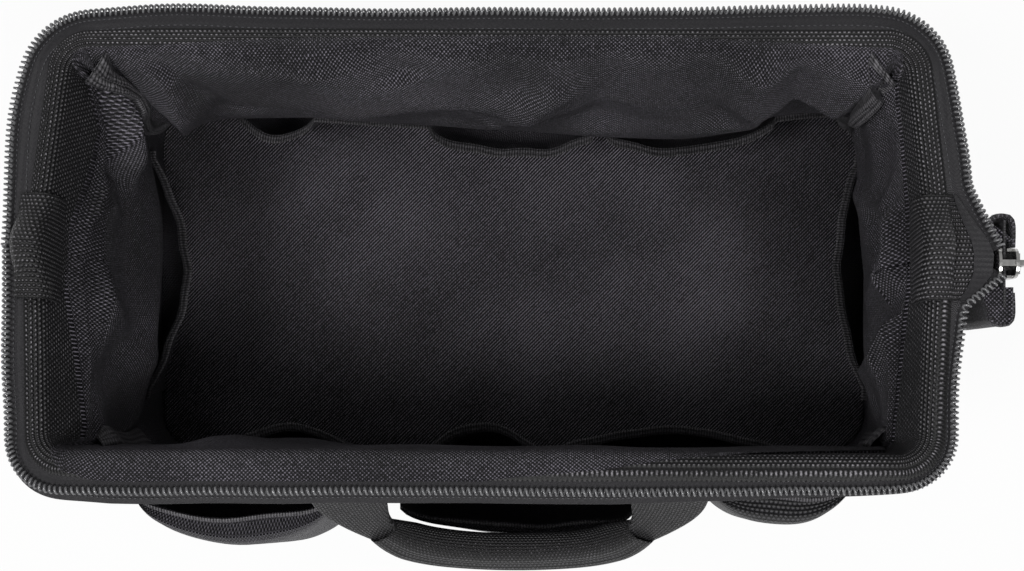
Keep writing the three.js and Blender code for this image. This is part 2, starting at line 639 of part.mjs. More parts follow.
const SLIDER_SIDE = SLIDER_TOP_HALF + 0.8;
const GATES = [
  { name: 'rear', turn: 0, outerEye: true, tip: TAIL_Y + SLIDER_SIDE + 1, handleX: REAR_HANDLE_X },
  { name: 'front', turn: Math.PI, outerEye: false, tip: -TAIL_Y + SLIDER_SIDE, handleX: -FRONT_HANDLE_X },
];
for (const { name, turn, outerEye, tip, handleX } of GATES) {
  const gate = new THREE.Group();
  gate.rotation.z = turn;
  mouth.add(gate);
  const turned = turn !== 0;
  const rod = carryRound(gateStations(ROD_START), () => circleSection(ROD_RADIUS, 8));
  add(gate, `${name}_frame_rod`, join(rod, ...eye(outerEye)), FRAME_STEEL);
  const sleeve = carryRound(gateStations(SLEEVE_START), () => SLEEVE_SECTION);
  const bore = carryRound(gateStations(SLEEVE_START - 2), () => circleSection(ROD_RADIUS + RUNNING, 8));
  add(gate, `${name}_rim_sleeve`, cut(sleeve, bore), WEBBING);
  add(gate, `${name}_zip_tape`, tape(tip, turned), CLOTH);
  const line = zipLine(tip, COIL_PITCH / 2);
  add(gate, `${name}_zip_coil`, coil(turned ? mirrored(line) : line), COIL_NYLON);
  add(gate, `${name}_handle_patch_a`, handlePatch(handleX - HANDLE_HALF), WEBBING);
  add(gate, `${name}_handle_patch_b`, handlePatch(handleX + HANDLE_HALF), WEBBING);
}

// Rivets through the eyes, and the webbing that covers each hinge on the inside
const RIVET_REACH = EYE_GAP + EYE_THICKNESS + TOUCH;
const rivetProfile = [
  [0, -RIVET_REACH - RIVET_HEAD],
  [RIVET_HEAD_RADIUS, -RIVET_REACH - RIVET_HEAD],
  [RIVET_HEAD_RADIUS, -RIVET_REACH],
  [RIVET_RADIUS, -RIVET_REACH],
  [RIVET_RADIUS, RIVET_REACH],
  [RIVET_HEAD_RADIUS, RIVET_REACH],
  [RIVET_HEAD_RADIUS, RIVET_REACH + RIVET_HEAD],
  [0, RIVET_REACH + RIVET_HEAD],
].map(([radius, along]) => new THREE.Vector2(radius, along));
for (const [name, sign] of [['right', 1], ['left', -1]]) {
  const rivet = new THREE.LatheGeometry(rivetProfile, 12).rotateZ(-Math.PI / 2).translate(sign * HINGE_X, 0, 0);
  add(mouth, `hinge_rivet_${name}`, rivet, NICKEL);
  const inner = HINGE_X - RIVET_REACH - RIVET_HEAD - TOUCH;
  const span = [inner - WEB_THICKNESS, inner].map((x) => sign * x).sort((a, b) => a - b);
  const cover = box(span, [-SLEEVE_START + 2 * TOUCH, SLEEVE_START - 2 * TOUCH], [SLEEVE_FOOT, -4]);
  add(mouth, `hinge_cover_${name}`, cover, WEBBING);
}

// Zip tail: both tapes run down outside the end, a slot's width apart where the slider's post passes
const tail = new THREE.Group();
tail.position.set(TAIL_X, TAIL_Y, HINGE_HEIGHT);
bag.add(tail);
const TAIL_TOP = TAPE_TOP - TAPE_THICKNESS - 0.7;
const TAPE_HALF = TAPE_THICKNESS / 2;
const SLOT_HALF = POST_HALF + 0.4;
const tailShape = new THREE.Shape([
  [-TAIL_HALF_WIDTH, TAIL_TOP - TAIL_LENGTH],
  [TAIL_HALF_WIDTH, TAIL_TOP - TAIL_LENGTH],
  [TAIL_HALF_WIDTH, TAIL_TOP],
  [SLOT_HALF, TAIL_TOP],
  [SLOT_HALF, TAIL_TOP - TAIL_SLOT],
  [-SLOT_HALF, TAIL_TOP - TAIL_SLOT],
  [-SLOT_HALF, TAIL_TOP],
  [-TAIL_HALF_WIDTH, TAIL_TOP],
].map(([y, z]) => new THREE.Vector2(y, z)));
const coilSpan = [TAIL_TOP - TAIL_SLOT, TAIL_TOP];
const coilFace = [TAPE_HALF - 0.1, TAPE_HALF + TAIL_COIL_HEIGHT];
const coilSides = [SLOT_HALF, SLOT_HALF + TAIL_COIL_WIDTH];
add(tail, 'zip_tail', join(
  crossPlate(tailShape, [-TAPE_HALF, TAPE_HALF]),
  box(coilFace, coilSides, coilSpan),
  box(coilFace, coilSides.map((y) => -y).reverse(), coilSpan),
), CLOTH);

const STOP_TOP = TAIL_TOP - TAIL_SLOT - TOUCH;
add(tail, 'zip_stop', box([TAPE_HALF + TOUCH, TAPE_HALF + TAIL_COIL_HEIGHT], [-coilSides[1], coilSides[1]],
  [STOP_TOP - 3, STOP_TOP]), NICKEL);

// Slider: a die-cast body of two shield plates joined by a post, with flanges and a bridge for the pull
const PLATE_IN = -TAPE_HALF - 1.9;
const PLATE_OUT = TAPE_HALF + TAIL_COIL_HEIGHT + 0.5;
const SLIDER_TOP = -SLIDER_DROP;
const SLIDER_FOOT = SLIDER_TOP - SLIDER_LENGTH;
function shield() {
  const shape = new THREE.Shape();
  const shoulder = SLIDER_TOP - 5;
  shape.moveTo(-SLIDER_FOOT_HALF - 1.2, SLIDER_FOOT);
  shape.lineTo(SLIDER_FOOT_HALF + 1.2, SLIDER_FOOT);
  shape.lineTo(SLIDER_TOP_HALF, shoulder);
  shape.quadraticCurveTo(SLIDER_TOP_HALF, SLIDER_TOP, 0, SLIDER_TOP);
  shape.quadraticCurveTo(-SLIDER_TOP_HALF, SLIDER_TOP, -SLIDER_TOP_HALF, shoulder);
  return shape;
}
const flangeSides = [SLIDER_FOOT_HALF, SLIDER_FOOT_HALF + 1.2];
const flangeSpan = [SLIDER_FOOT, SLIDER_TOP - 5];
const flangeSlot = TAPE_HALF + 0.5;
const flanges = [flangeSides, flangeSides.map((y) => -y).reverse()].flatMap((sides) => [
  box([PLATE_IN - 0.1, -flangeSlot], sides, flangeSpan),
  box([flangeSlot, PLATE_OUT + 0.1], sides, flangeSpan),
]);
const postShape = new THREE.Shape([
  [0, SLIDER_TOP - 5.5],
  [POST_HALF, SLIDER_TOP - 3.5],
  [POST_HALF, SLIDER_TOP - 1.2],
  [-POST_HALF, SLIDER_TOP - 1.2],
  [-POST_HALF, SLIDER_TOP - 3.5],
].map(([y, z]) => new THREE.Vector2(y, z)));

// The bridge is an arch along the slider, drawn in X and Z.
const BRIDGE_TOP = SLIDER_TOP - BRIDGE_START;
const BRIDGE_FOOT = BRIDGE_TOP - BRIDGE_LENGTH;
const FACE_OUT = PLATE_OUT + SLIDER_PLATE;
const arch = new THREE.Shape([
  [FACE_OUT - 0.2, BRIDGE_FOOT],
  [FACE_OUT + BRIDGE_RISE - 1.5, BRIDGE_FOOT],
  [FACE_OUT + BRIDGE_RISE, BRIDGE_FOOT + 1.5],
  [FACE_OUT + BRIDGE_RISE, BRIDGE_TOP - 1.5],
  [FACE_OUT + BRIDGE_RISE - 1.5, BRIDGE_TOP],
  [FACE_OUT - 0.2, BRIDGE_TOP],
].map(([x, z]) => new THREE.Vector2(x, z)));
const archGeometry = new THREE.ExtrudeGeometry(arch, { depth: BRIDGE_WIDTH, bevelEnabled: false })
  .rotateX(Math.PI / 2).translate(0, BRIDGE_WIDTH / 2, 0);
const archHole = box([FACE_OUT, FACE_OUT + BRIDGE_RISE - BRIDGE_BAR], [-BRIDGE_WIDTH, BRIDGE_WIDTH],
  [BRIDGE_FOOT + BRIDGE_BAR, BRIDGE_TOP - BRIDGE_BAR]);
add(tail, 'slider_body', join(
  crossPlate(shield(), [PLATE_IN - SLIDER_PLATE, PLATE_IN]),
  crossPlate(shield(), [PLATE_OUT, FACE_OUT]),
  ...flanges,
  crossPlate(postShape, [PLATE_IN - 0.2, PLATE_OUT + 0.2]),
  cut(archGeometry, archHole),
), NICKEL);

// Pull: a flat tab whose ring passes under the bridge
const PULL_PIVOT = (BRIDGE_TOP + BRIDGE_FOOT) / 2;
const PULL_X = FACE_OUT + (BRIDGE_RISE - BRIDGE_BAR) / 2;
const RING_REACH = 7.4;
const pullShape = new THREE.Shape();
pullShape.moveTo(-PULL_WIDTH / 2, 0.9);
pullShape.lineTo(-PULL_WIDTH / 2, -RING_REACH);
pullShape.lineTo(-PULL_WIDTH / 2 + 1.4, -RING_REACH - 3);
pullShape.lineTo(-PULL_WIDTH / 2 + 0.4, -PULL_LENGTH + 2);
pullShape.quadraticCurveTo(-PULL_WIDTH / 2 + 0.6, -PULL_LENGTH, 0, -PULL_LENGTH);
pullShape.quadraticCurveTo(PULL_WIDTH / 2 - 0.6, -PULL_LENGTH, PULL_WIDTH / 2 - 0.4, -PULL_LENGTH + 2);
pullShape.lineTo(PULL_WIDTH / 2 - 1.4, -RING_REACH - 3);
pullShape.lineTo(PULL_WIDTH / 2, -RING_REACH);
pullShape.lineTo(PULL_WIDTH / 2, 0.9);
const ringHole = new THREE.Path([
  [-PULL_WIDTH / 2 + 1.6, -0.9],
  [PULL_WIDTH / 2 - 1.6, -0.9],
  [PULL_WIDTH / 2 - 1.6, -RING_REACH + 0.6],
  [-PULL_WIDTH / 2 + 1.6, -RING_REACH + 0.6],
].map(([y, z]) => new THREE.Vector2(y, z)));
pullShape.holes.push(ringHole);
const slot = new THREE.Path();
slot.absarc(0, -PULL_LENGTH + PULL_HOLE_UP, 1.7, 0, 2 * Math.PI, true);
pullShape.holes.push(slot);
const pull = crossPlate(pullShape, [-PULL_THICKNESS / 2, PULL_THICKNESS / 2]).translate(PULL_X, 0, PULL_PIVOT);
add(tail, 'pull_tab', pull, NICKEL);

// End tab: cloth folded round the zip tail, sewn through both hems
const TAB_BACK = PLATE_IN - SLIDER_PLATE - 2 * TOUCH;
const tabShape = new THREE.Shape([
  [TAB_BACK - TAB_CLOTH, -TAB_HALF_WIDTH],
  [TAPE_HALF + 1, -TAB_HALF_WIDTH],
  [TAPE_HALF + 1, -TAIL_HALF_WIDTH - TOUCH],
  [TAB_BACK, -TAIL_HALF_WIDTH - TOUCH],
  [TAB_BACK, TAIL_HALF_WIDTH + TOUCH],
  [TAPE_HALF + 1, TAIL_HALF_WIDTH + TOUCH],
  [TAPE_HALF + 1, TAB_HALF_WIDTH],
  [TAB_BACK - TAB_CLOTH, TAB_HALF_WIDTH],
].map(([x, y]) => new THREE.Vector2(x, y)));
const TAB_TOP = -12;
const TAB_FOOT = TAIL_TOP - TAIL_LENGTH - 4;
add(tail, 'zip_end_tab', new THREE.ExtrudeGeometry(tabShape, { depth: TAB_TOP - TAB_FOOT, bevelEnabled: false })
  .translate(0, 0, TAB_FOOT), CLOTH);

// Handles: a web loop folded narrow where the grip is wrapped round it. The loop follows
// x = half * cos(t)^p and y = reach * sin(t)^p with t from 0 to 180 degrees.
const LOOP_POWER = 0.77;
const rootPower = (value) => Math.sign(value) * Math.abs(value) ** LOOP_POWER;
function loopStations(from, to, count) {
  const place = (turn) => new THREE.Vector2(HANDLE_HALF * rootPower(Math.cos(turn)), HANDLE_REACH * rootPower(Math.sin(turn)));
  return steps(from, to, count).map((turn) => {
    const before = place(Math.max(turn - 0.01, 0));
    const along = place(Math.min(turn + 0.01, Math.PI)).sub(before).normalize();
    return { turn, point: place(turn), out: new THREE.Vector2(along.y, -along.x) };
  });
}

// How far the web is folded together, from 0 flat at the wall to 1 inside the grip.
const folded = (turn) => THREE.MathUtils.smoothstep(Math.sin(turn), 0.2, 0.72);
const webHalf = (turn) => lerp(HANDLE_WEB, HANDLE_CORE_WIDTH, folded(turn)) / 2;
const webThick = (turn) => lerp(WEB_THICKNESS, HANDLE_CORE_THICKNESS, folded(turn)) / 2;
function handleLoft(stations, halfWidth, halfThickness, sides) {
  const place = ({ point, out }, across, height) =>
    new THREE.Vector3(point.x + out.x * across, point.y + out.y * across, height);
  return loft(stations.map((station) => {
    const [wide, thick] = [halfWidth(station.turn), halfThickness(station.turn)];
    if (sides === 4) {
      return [[wide, thick], [-wide, thick], [-wide, -thick], [wide, -thick]].map(([a, b]) => place(station, a, b));
    }
    return steps(0, 2 * Math.PI, sides).slice(0, sides)
      .map((angle) => place(station, wide * Math.cos(angle), thick * Math.sin(angle)));
  }));
}

function handle(name, handleX, turn, drop) {
  const seat = fromMouth(0, (turn ? -1 : 1) * (GATE_DEPTH + sleeveFace(HANDLE_HEIGHT) + TOUCH + WEB_THICKNESS
    + HANDLE_STANDOFF), HANDLE_HEIGHT);
  const placed = new THREE.Group();
  placed.position.copy(seat);
  placed.rotation.z = turn;
  bag.add(placed);
  const hung = new THREE.Group();
  hung.rotation.x = -radians(drop);
  hung.position.x = turn ? -handleX : handleX;
  placed.add(hung);
  const gripHalf = radians(GRIP_HALF_TURN);
  const start = 0.0005;
  const web = handleLoft(loopStations(start, Math.PI - start, 20), webHalf, webThick, 4);
  const gripStations = loopStations(Math.PI / 2 - gripHalf, Math.PI / 2 + gripHalf, 12);
  const grip = handleLoft(gripStations, () => GRIP_WIDTH / 2, () => GRIP_THICKNESS / 2, 10);
  const core = handleLoft(loopStations(start, Math.PI - start, 20),
    (angle) => webHalf(angle) + RUNNING, (angle) => webThick(angle) + RUNNING, 4);
  add(hung, `${name}_handle_web`, web, WEBBING);
  add(hung, `${name}_handle_grip`, cut(grip, core), WEBBING);
}

handle('front', FRONT_HANDLE_X, Math.PI, FRONT_HANDLE_DROP);
handle('rear', REAR_HANDLE_X, 0, REAR_HANDLE_DROP);

export default bag;
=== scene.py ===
# Zippered tool bag in black woven cloth, standing open and empty, seen from above.
# Sizes are in millimetres and turned to metres where a mesh is made. The sections follow the
# order in which the bag is sewn and fitted, from the floor up to the zip and the handles.
import bpy
import numpy as np
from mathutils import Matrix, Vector


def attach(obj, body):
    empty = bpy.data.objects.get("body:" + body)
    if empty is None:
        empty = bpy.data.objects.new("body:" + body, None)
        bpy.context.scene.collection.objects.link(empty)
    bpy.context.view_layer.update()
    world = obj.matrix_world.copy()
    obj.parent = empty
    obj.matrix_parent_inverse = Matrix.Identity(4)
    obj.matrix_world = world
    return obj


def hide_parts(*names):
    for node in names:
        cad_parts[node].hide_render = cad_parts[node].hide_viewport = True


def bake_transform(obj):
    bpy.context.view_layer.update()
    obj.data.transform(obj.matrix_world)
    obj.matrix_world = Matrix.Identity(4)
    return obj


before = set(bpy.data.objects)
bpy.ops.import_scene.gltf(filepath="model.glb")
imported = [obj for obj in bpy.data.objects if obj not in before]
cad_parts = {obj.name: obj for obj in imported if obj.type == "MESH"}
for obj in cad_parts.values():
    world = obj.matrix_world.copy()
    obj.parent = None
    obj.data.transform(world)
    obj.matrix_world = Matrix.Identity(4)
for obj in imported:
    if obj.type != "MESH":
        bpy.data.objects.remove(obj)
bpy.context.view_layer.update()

# Floor of the bag. A stiff board lies between the cloth of the underside and a twill lining.
# The lining is loose on the board and stands in low soft waves, deepest near the middle.
BASE_LINE = (172.6, 73.6, 22.0, 0.0)
END_PART, CORNER_PART = 0.3, 0.5


def part_of(value, low, high):
    """How far a value has come on its way from low to high: (value - low) / (high - low), kept
    between 0 and 1."""
    return np.clip((value - low) / (high - low), 0, 1)


def eased(part):
    """A soft start and stop for a share from 0 to 1: its square times (3 - 2 * the share)."""
    return part * part * (3 - 2 * part)


def points_of(*parts):
    """A grid of points, or of pairs, from a grid or a number for each of their parts."""
    return np.stack(np.broadcast_arrays(*parts), -1)


def grid(down, across):
    """Two parameters over a grid of points: one runs down its rows, the other across its columns."""
    return np.meshgrid(down, across, indexing="ij")


def ring(line, s):
    """Round an outline, anticlockwise from above. s counts quarters from the middle of the right end.
    A quarter is a straight end, a corner arc and half a long side; line is its arc's centre and radius,
    and the lean of its end. Gives the place and the way out."""
    centre_x, centre_y, radius, lean = line
    s = np.mod(s, 4.0)
    quarter = np.floor(s).astype(int)
    walk = np.where(quarter % 2 == 0, s - quarter, 1 - (s - quarter))
    turn = lean + (np.pi / 2 - lean) * part_of(walk, END_PART, CORNER_PART)
    y_end = (centre_y + radius * np.sin(lean)) * part_of(walk, 0, END_PART)
    x_end = centre_x + (radius - (y_end - centre_y) * np.sin(lean)) / np.cos(lean)
    x_far = np.where(walk < CORNER_PART, centre_x + radius * np.cos(turn),
                     centre_x * (1 - walk) / (1 - CORNER_PART))
    x = np.where(walk < END_PART, x_end, x_far)
    y = np.where(walk < END_PART, y_end, centre_y + radius * np.sin(turn))
    side_x = np.where((quarter == 1) | (quarter == 2), -1.0, 1.0)
    side_y = np.where(quarter >= 2, -1.0, 1.0)
    return side_x * x, side_y * y, side_x * np.cos(turn), side_y * np.sin(turn)


def ripple(u, v, seed, waves=7):
    """Soft unevenness from -1 to 1: the mean of a few sine waves of u and v, in random directions."""
    rng = np.random.default_rng(seed)
    total = 0.0
    for _ in range(waves):
        angle, phase, stretch = rng.random(3) * (2 * np.pi, 2 * np.pi, 1)
        total = total + np.sin((0.6 + stretch) * (u * np.cos(angle) + v * np.sin(angle)) + phase)
    return total / waves * 1.6


def mesh_piece(name, points, faces, uv=None, material=None, body=None, smooth=True):
    """A piece from points in millimetres and faces, turned so that its volume is positive."""
    points = np.asarray(points, float).reshape(-1, 3) * 0.001
    faces = np.asarray(faces)
    a, b, c = (points[faces[:, k]] for k in range(3))
    volume = np.einsum("ij,ij->i", a, np.cross(b, c)).sum()
    if faces.shape[1] == 4:
        d = points[faces[:, 3]]
        volume += np.einsum("ij,ij->i", a, np.cross(c, d)).sum()
    if volume < 0:
        faces = faces[:, ::-1]
    mesh = bpy.data.meshes.new(name)
    mesh.from_pydata(points.tolist(), [], faces.tolist())
    if uv is not None:
        layer = mesh.uv_layers.new(name="UVMap")
        layer.data.foreach_set("uv", np.asarray(uv, np.float32).reshape(-1, 2)[faces.ravel()].ravel())
    mesh.polygons.foreach_set("use_smooth", np.full(len(mesh.polygons), smooth))
    mesh.update()
    piece = bpy.data.objects.new(name, mesh)
    bpy.context.scene.collection.objects.link(piece)
    if material:
        mesh.materials.append(material)
    if body:
        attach(piece, body)
    return piece


def grid_faces(rows, columns, wrap=False):
    """Four-sided faces of a grid of points, closed across its columns if wrap is true."""
    index = np.arange(rows * columns).reshape(rows, columns)
    if wrap:
        index = np.column_stack([index, index[:, 0]])
    return np.stack([index[:-1, :-1], index[1:, :-1], index[1:, 1:], index[:-1, 1:]], -1).reshape(-1, 4)


def tube(name, rings, uv=None, **more):
    """A closed body: a ring of points at each step along it, joined to the next ring, with a fan of
    faces round the ring's own middle at both ends."""
    rows, columns = rings.shape[:2]
    quads = grid_faces(rows, columns, wrap=True)
    loop = np.arange(columns)
    after = np.roll(loop, -1)
    last = (rows - 1) * columns
    middle = np.full(columns, rows * columns)
    faces = np.concatenate([quads[:, [0, 1, 2]], quads[:, [0, 2, 3]], np.stack([loop, after, middle], -1),
                            np.stack([last + after, last + loop, middle + 1], -1)])
    uv = np.zeros((rows, columns, 2)) if uv is None else uv
    points, uv = (np.concatenate([part.reshape(rows * columns, -1), part[[0, -1]].mean(1)])
                  for part in (rings, uv))
    return mesh_piece(name, points, faces, uv, **more)


def finish(name, roughness, metallic=0.0, specular=0.5, colour=None):
    """A new material: returns it, a maker of its nodes, and its shader."""
    material = bpy.data.materials.new(name)
    material.use_nodes = True
    tree = material.node_tree
    shader = tree.nodes["Principled BSDF"]
    shader.inputs["Roughness"].default_value = roughness
    shader.inputs["Metallic"].default_value = metallic
    shader.inputs["Specular IOR Level"].default_value = specular
    if colour:
        shader.inputs["Base Color"].default_value = (*colour, 1)

    def node(kind, inputs=(), **settings):
        """A node of this kind, with its settings, and its inputs linked or set."""
        made = tree.nodes.new("ShaderNode" + kind)
        for key, value in settings.items():
            setattr(made, key, value)
        for key, value in dict(inputs).items():
            if isinstance(value, bpy.types.NodeSocket):
                tree.links.new(value, made.inputs[key])
            else:
                made.inputs[key].default_value = value
        return made
    return material, node, shader


def join(socket, target):
    """Links one node's output to an input of the same material."""
    socket.id_data.links.new(socket, target)


def sums(node, operation, *values, clamp=False):
    """One step of arithmetic on sockets or numbers."""
    return node("Math", dict(enumerate(values)), operation=operation, use_clamp=clamp).outputs[0]


def between(node, share, dark, light):
    """The colour that lies at a share of the way from a dark colour to a light one."""
    return node("Mix", {0: share, 6: (*dark, 1), 7: (*light, 1)}, data_type="RGBA").outputs[2]


def speckle(node, scale, **more):
    """Noise of the piece's own place: scale is how many patches there are to a metre."""
    where = node("TexCoord").outputs["Object"]
    return node("TexNoise", {"Vector": where, "Scale": scale, **more}).outputs["Fac"]


def weave_of(node, across, along, kind):
    """Height of a woven surface from the piece's own measure of millimetres. Plain is the product of
    two sines, so that threads rise in turn; twill is a sine along the diagonal broken by the weft;
    ribbed is rows of bars, each row set half a bar aside; cord is bars side by side with a line of
    stitches; herringbone is twill that turns back."""
    def step(operation, *values):
        """One step of arithmetic in this material."""
        return sums(node, operation, *values)

    parts = node("SeparateXYZ", {0: node("UVMap", uv_map="UVMap").outputs[0]}).outputs
    u = step("MULTIPLY", parts[0], np.pi / across)
    v = step("MULTIPLY", parts[1], np.pi / along)
    if kind == "plain":
        return step("MULTIPLY", step("SINE", u), step("SINE", v))
    if kind == "twill":
        slant = step("SINE", step("SUBTRACT", u, v))
        return step("MULTIPLY_ADD", step("SINE", step("MULTIPLY", u, 2.0)), 0.35, slant)
    if kind == "ribbed":
        row = step("FLOOR", step("DIVIDE", v, np.pi))
        bar = step("ABSOLUTE", step("SINE", step("MULTIPLY_ADD", row, np.pi / 2, u)))
        return step("MULTIPLY", bar, step("POWER", step("ABSOLUTE", step("SINE", v)), 2.0))
    if kind == "cord":
        bar = step("ABSOLUTE", step("SINE", u))
        return step("MULTIPLY_ADD", step("ABSOLUTE", step("SINE", v)), 0.45, step("MULTIPLY", bar, 0.6))
    turning = step("ABSOLUTE", step("SUBTRACT", step("FRACT", step("DIVIDE", v, np.pi * 4)), 0.5))
    return step("SINE", step("MULTIPLY_ADD", turning, np.pi * 4, step("MULTIPLY", u, 2.0)))


def woven(name, dark, light, across, along, kind="plain", depth=0.4, power=2.4):
    """Woven black cloth: the weave gives bump and painted light, and two noises give wear and loose fibre.
    The weave's height is painted into the colour: painted highlights on the tops of the threads and painted
    shade in the hollows between them. The tone is raised to a power, so that only the tops of the threads
    are painted light."""
    material, node, shader = finish(name, 0.55, specular=0.45)
    height = weave_of(node, across, along, kind)
    fibre = speckle(node, 1000.0, Detail=3.0, Roughness=0.7)
    patch = speckle(node, 14.0, Detail=3.0)
    gain, lift = (0.9, 0.05) if kind in ("ribbed", "cord") else (0.5, 0.5)
    # Painted highlights and painted shade: the weave's height, with the wear and fibre noises, sets how far
    # each point's colour goes from dark to light.
    highlight_and_wear_tone = sums(node, "MULTIPLY_ADD", height, gain, lift)
    highlight_and_wear_tone = sums(node, "MULTIPLY_ADD", sums(node, "SUBTRACT", fibre, 0.5), 1.6, highlight_and_wear_tone)
    highlight_and_wear_tone = sums(node, "MULTIPLY_ADD", sums(node, "SUBTRACT", patch, 0.5), 0.7, highlight_and_wear_tone, clamp=True)
    join(between(node, sums(node, "POWER", highlight_and_wear_tone, power), dark, light), shader.inputs["Base Color"])
    rise = sums(node, "MULTIPLY_ADD", fibre, 0.3, height)
    bump = node("Bump", {"Height": rise, "Distance": depth * 0.001, "Strength": 0.8}).outputs[0]
    join(bump, shader.inputs["Normal"])
    shader.inputs["Sheen Weight"].default_value = 0.04
    shader.inputs["Sheen Roughness"].default_value = 0.4
    shader.inputs["Sheen Tint"].default_value = (0.75, 0.75, 0.8, 1)
    return material


lining_cloth = woven("lining_twill", (0.002, 0.0018, 0.0025), (0.23, 0.214, 0.25), 1.0, 1.0, "twill",
                     depth=0.6, power=4.4)
wall_cloth = woven("wall_basket_weave", (0.002, 0.0018, 0.0026), (0.24, 0.224, 0.266), 0.85, 0.85,
                   depth=0.7, power=4.2)


def floor_rings(inset):
    """The floor as rings shrinking to its middle: x and y of its outline scaled by t, and t."""
    s, t = grid(np.linspace(0, 4, 241)[:-1], np.linspace(0.001, 1, 70))
    centre_x, centre_y, radius, lean = BASE_LINE
    x, y, _, _ = ring((centre_x, centre_y, radius - inset, lean), s)
    return x * t, y * t, t


def lining_height(x, y, t):
    """Low waves that run aslant from the left rear to the right front, dying out at the walls."""
    slant = 0.45 * x + 0.89 * y
    strong = 0.35 + 0.65 * part_of(x, -40, 50)
    patches = 0.6 + 0.4 * ripple(x / 30, y / 18, 8)
    bends = 1.3 * np.sin(x / 38) + 0.9 * np.sin(y / 24)
    waves = 1.15 * strong * patches * np.sin(slant / 4.6 + bends) + 1.2 * ripple(x / 22, y / 16, 4)
    return 7.3 + (2.9 + waves) * eased(part_of(t, 1, 0.88))


def floor_sheet(name, inset, top, under, **more):
    """Rings that widen from the middle of the upper side to the edge and shrink again underneath.
    top and under give the height from x, y and t, or are heights."""
    x, y, t = floor_rings(inset)
    upper, lower = (points_of(x, y, z(x, y, t) if callable(z) else z) for z in (top, under))
    rings = np.swapaxes(np.concatenate([upper, lower[:, ::-1]], 1), 0, 1)
    return tube(name, rings, rings[..., :2], **more)


def turned_up_edge(x, y, t):
    """Flat on the ground, and 0.3 times the square of t's last tenth above it near the edge."""
    return 0.3 * part_of(t, 0.9, 1.0) ** 2


lining = floor_sheet("floor_lining_cloth", 0.6, lining_height, 5.9, material=lining_cloth, body="root")
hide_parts("floor_lining")
underside = floor_sheet("underside_cloth", -2.0, 1.9, turned_up_edge, material=wall_cloth, body="root")
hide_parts("bottom_panel")
board_stock, node, shader = finish("floor_board", 0.7)
join(between(node, speckle(node, 400.0), (0.02,) * 3, (0.05,) * 3), shader.inputs["Base Color"])
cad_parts["base_board"].material_slots[0].material = board_stock

# Walls. Cloth over thin foam, sewn to the floor and at the corners, and to the rim webbing on top.
# They hang a little loose: the long rear wall sags inwards and folds run out from the corners.
HINGE_HEIGHT, MOUTH_TILT, FLOOR_TOP = 195.0, np.radians(8), 7.5
HINGE_HALF, GATE_DEPTH, GATE_RADIUS, END_TAPER = 200.5, 102.0, 26.0, 8.0
LEAN = np.arctan2(END_TAPER, GATE_DEPTH)
ARC_Y = GATE_DEPTH - GATE_RADIUS
ARC_X = HINGE_HALF - (GATE_RADIUS + ARC_Y * np.sin(LEAN)) / np.cos(LEAN)
WALL_TOP, WALL_INSET = -44.8, 19.5
# For each wall: where it starts and ends round the outline, and its sag.
SIDES = {
    "right": (3.6, 4.4, 6.0), "rear": (0.4, 1.6, 12.0),
    "left": (1.6, 2.4, 8.0), "front": (2.4, 3.6, -3.0),
}
LONG_SIDES = ("rear", "front")


def gate_line(inset):
    """The outline of the mouth in its own plane, this far in from the rim line."""
    return ARC_X, ARC_Y, GATE_RADIUS - inset, LEAN


def from_mouth(x, y, z):
    """From the tilted plane of the mouth, whose X axis is the hinge line, to the bag's own frame."""
    cos, sin = np.cos(MOUTH_TILT), np.sin(MOUTH_TILT)
    return points_of(x, y * cos + z * sin, HINGE_HEIGHT - y * sin + z * cos)


def mound(x, at, wide):
    """A bell of height 1: exp(-square of (x - at) / wide)."""
    return np.exp(-((x - at) / wide) ** 2)


# The drape of a wall as a whole, and of parts of a long wall as (x of its middle, width, size).
# What is positive hangs inwards.
DRAPE = {"left": 9.0, "right": 3.0, "rear": 5.0, "front": 3.0}
LONG_DRAPE = {
    "rear": [(-149, 30, 8.0), (-73, 24, -13.0), (-30, 26, -10.0), (5, 20, -4.0), (80, 22, 6.0),
             (119, 16, -19.0), (158, 18, 13.0)],
    "front": [(-100, 60, 3.0), (20, 40, -2.5), (110, 50, 2.5)],
}


def wall_folds(side, along, rise):
    """How far the cloth stands inwards of the plain sagging wall, in millimetres: unevenness, folds
    that fan out from the upper corners, and the drape."""
    top = np.clip(rise, 0, 1)
    calm = np.sin(np.pi * top) ** 0.6
    fold = 2.6 * ripple(along * 9, top * 5, {"right": 1, "rear": 2, "left": 3, "front": 5}[side])
    for corner in (0.0, 1.0):
        away = np.abs(along - corner) * (6.0 if side in LONG_SIDES else 3.4)
        angle = np.arctan2(1.05 - top, away + 0.02)
        reach = np.exp(-((away ** 2 + (1 - top) ** 2) / 0.55))
        fold = fold + 3.6 * np.sin(angle * 9 + corner * 2) * reach * np.clip(away * 4, 0, 1)
    fold = fold + DRAPE[side] * np.sin(np.pi * part_of(top, 0.3, 1.02)) ** 1.4 * np.sin(np.pi * along)
    if side in LONG_SIDES:
        x = (1 - 2 * along if side == "rear" else 2 * along - 1) * BASE_LINE[0]
        height = part_of(top, 0.44, 1.0)
        swell = sum(size * mound(x, at, wide) for at, wide, size in LONG_DRAPE[side])
        fold = fold + swell * np.sin(np.pi * height) * np.sin(np.pi / 2 * height) / np.maximum(calm, 0.3)
    return fold * calm


def unit(ways):
    """Directions of length 1."""
    return ways / np.linalg.norm(ways, axis=-1, keepdims=True)


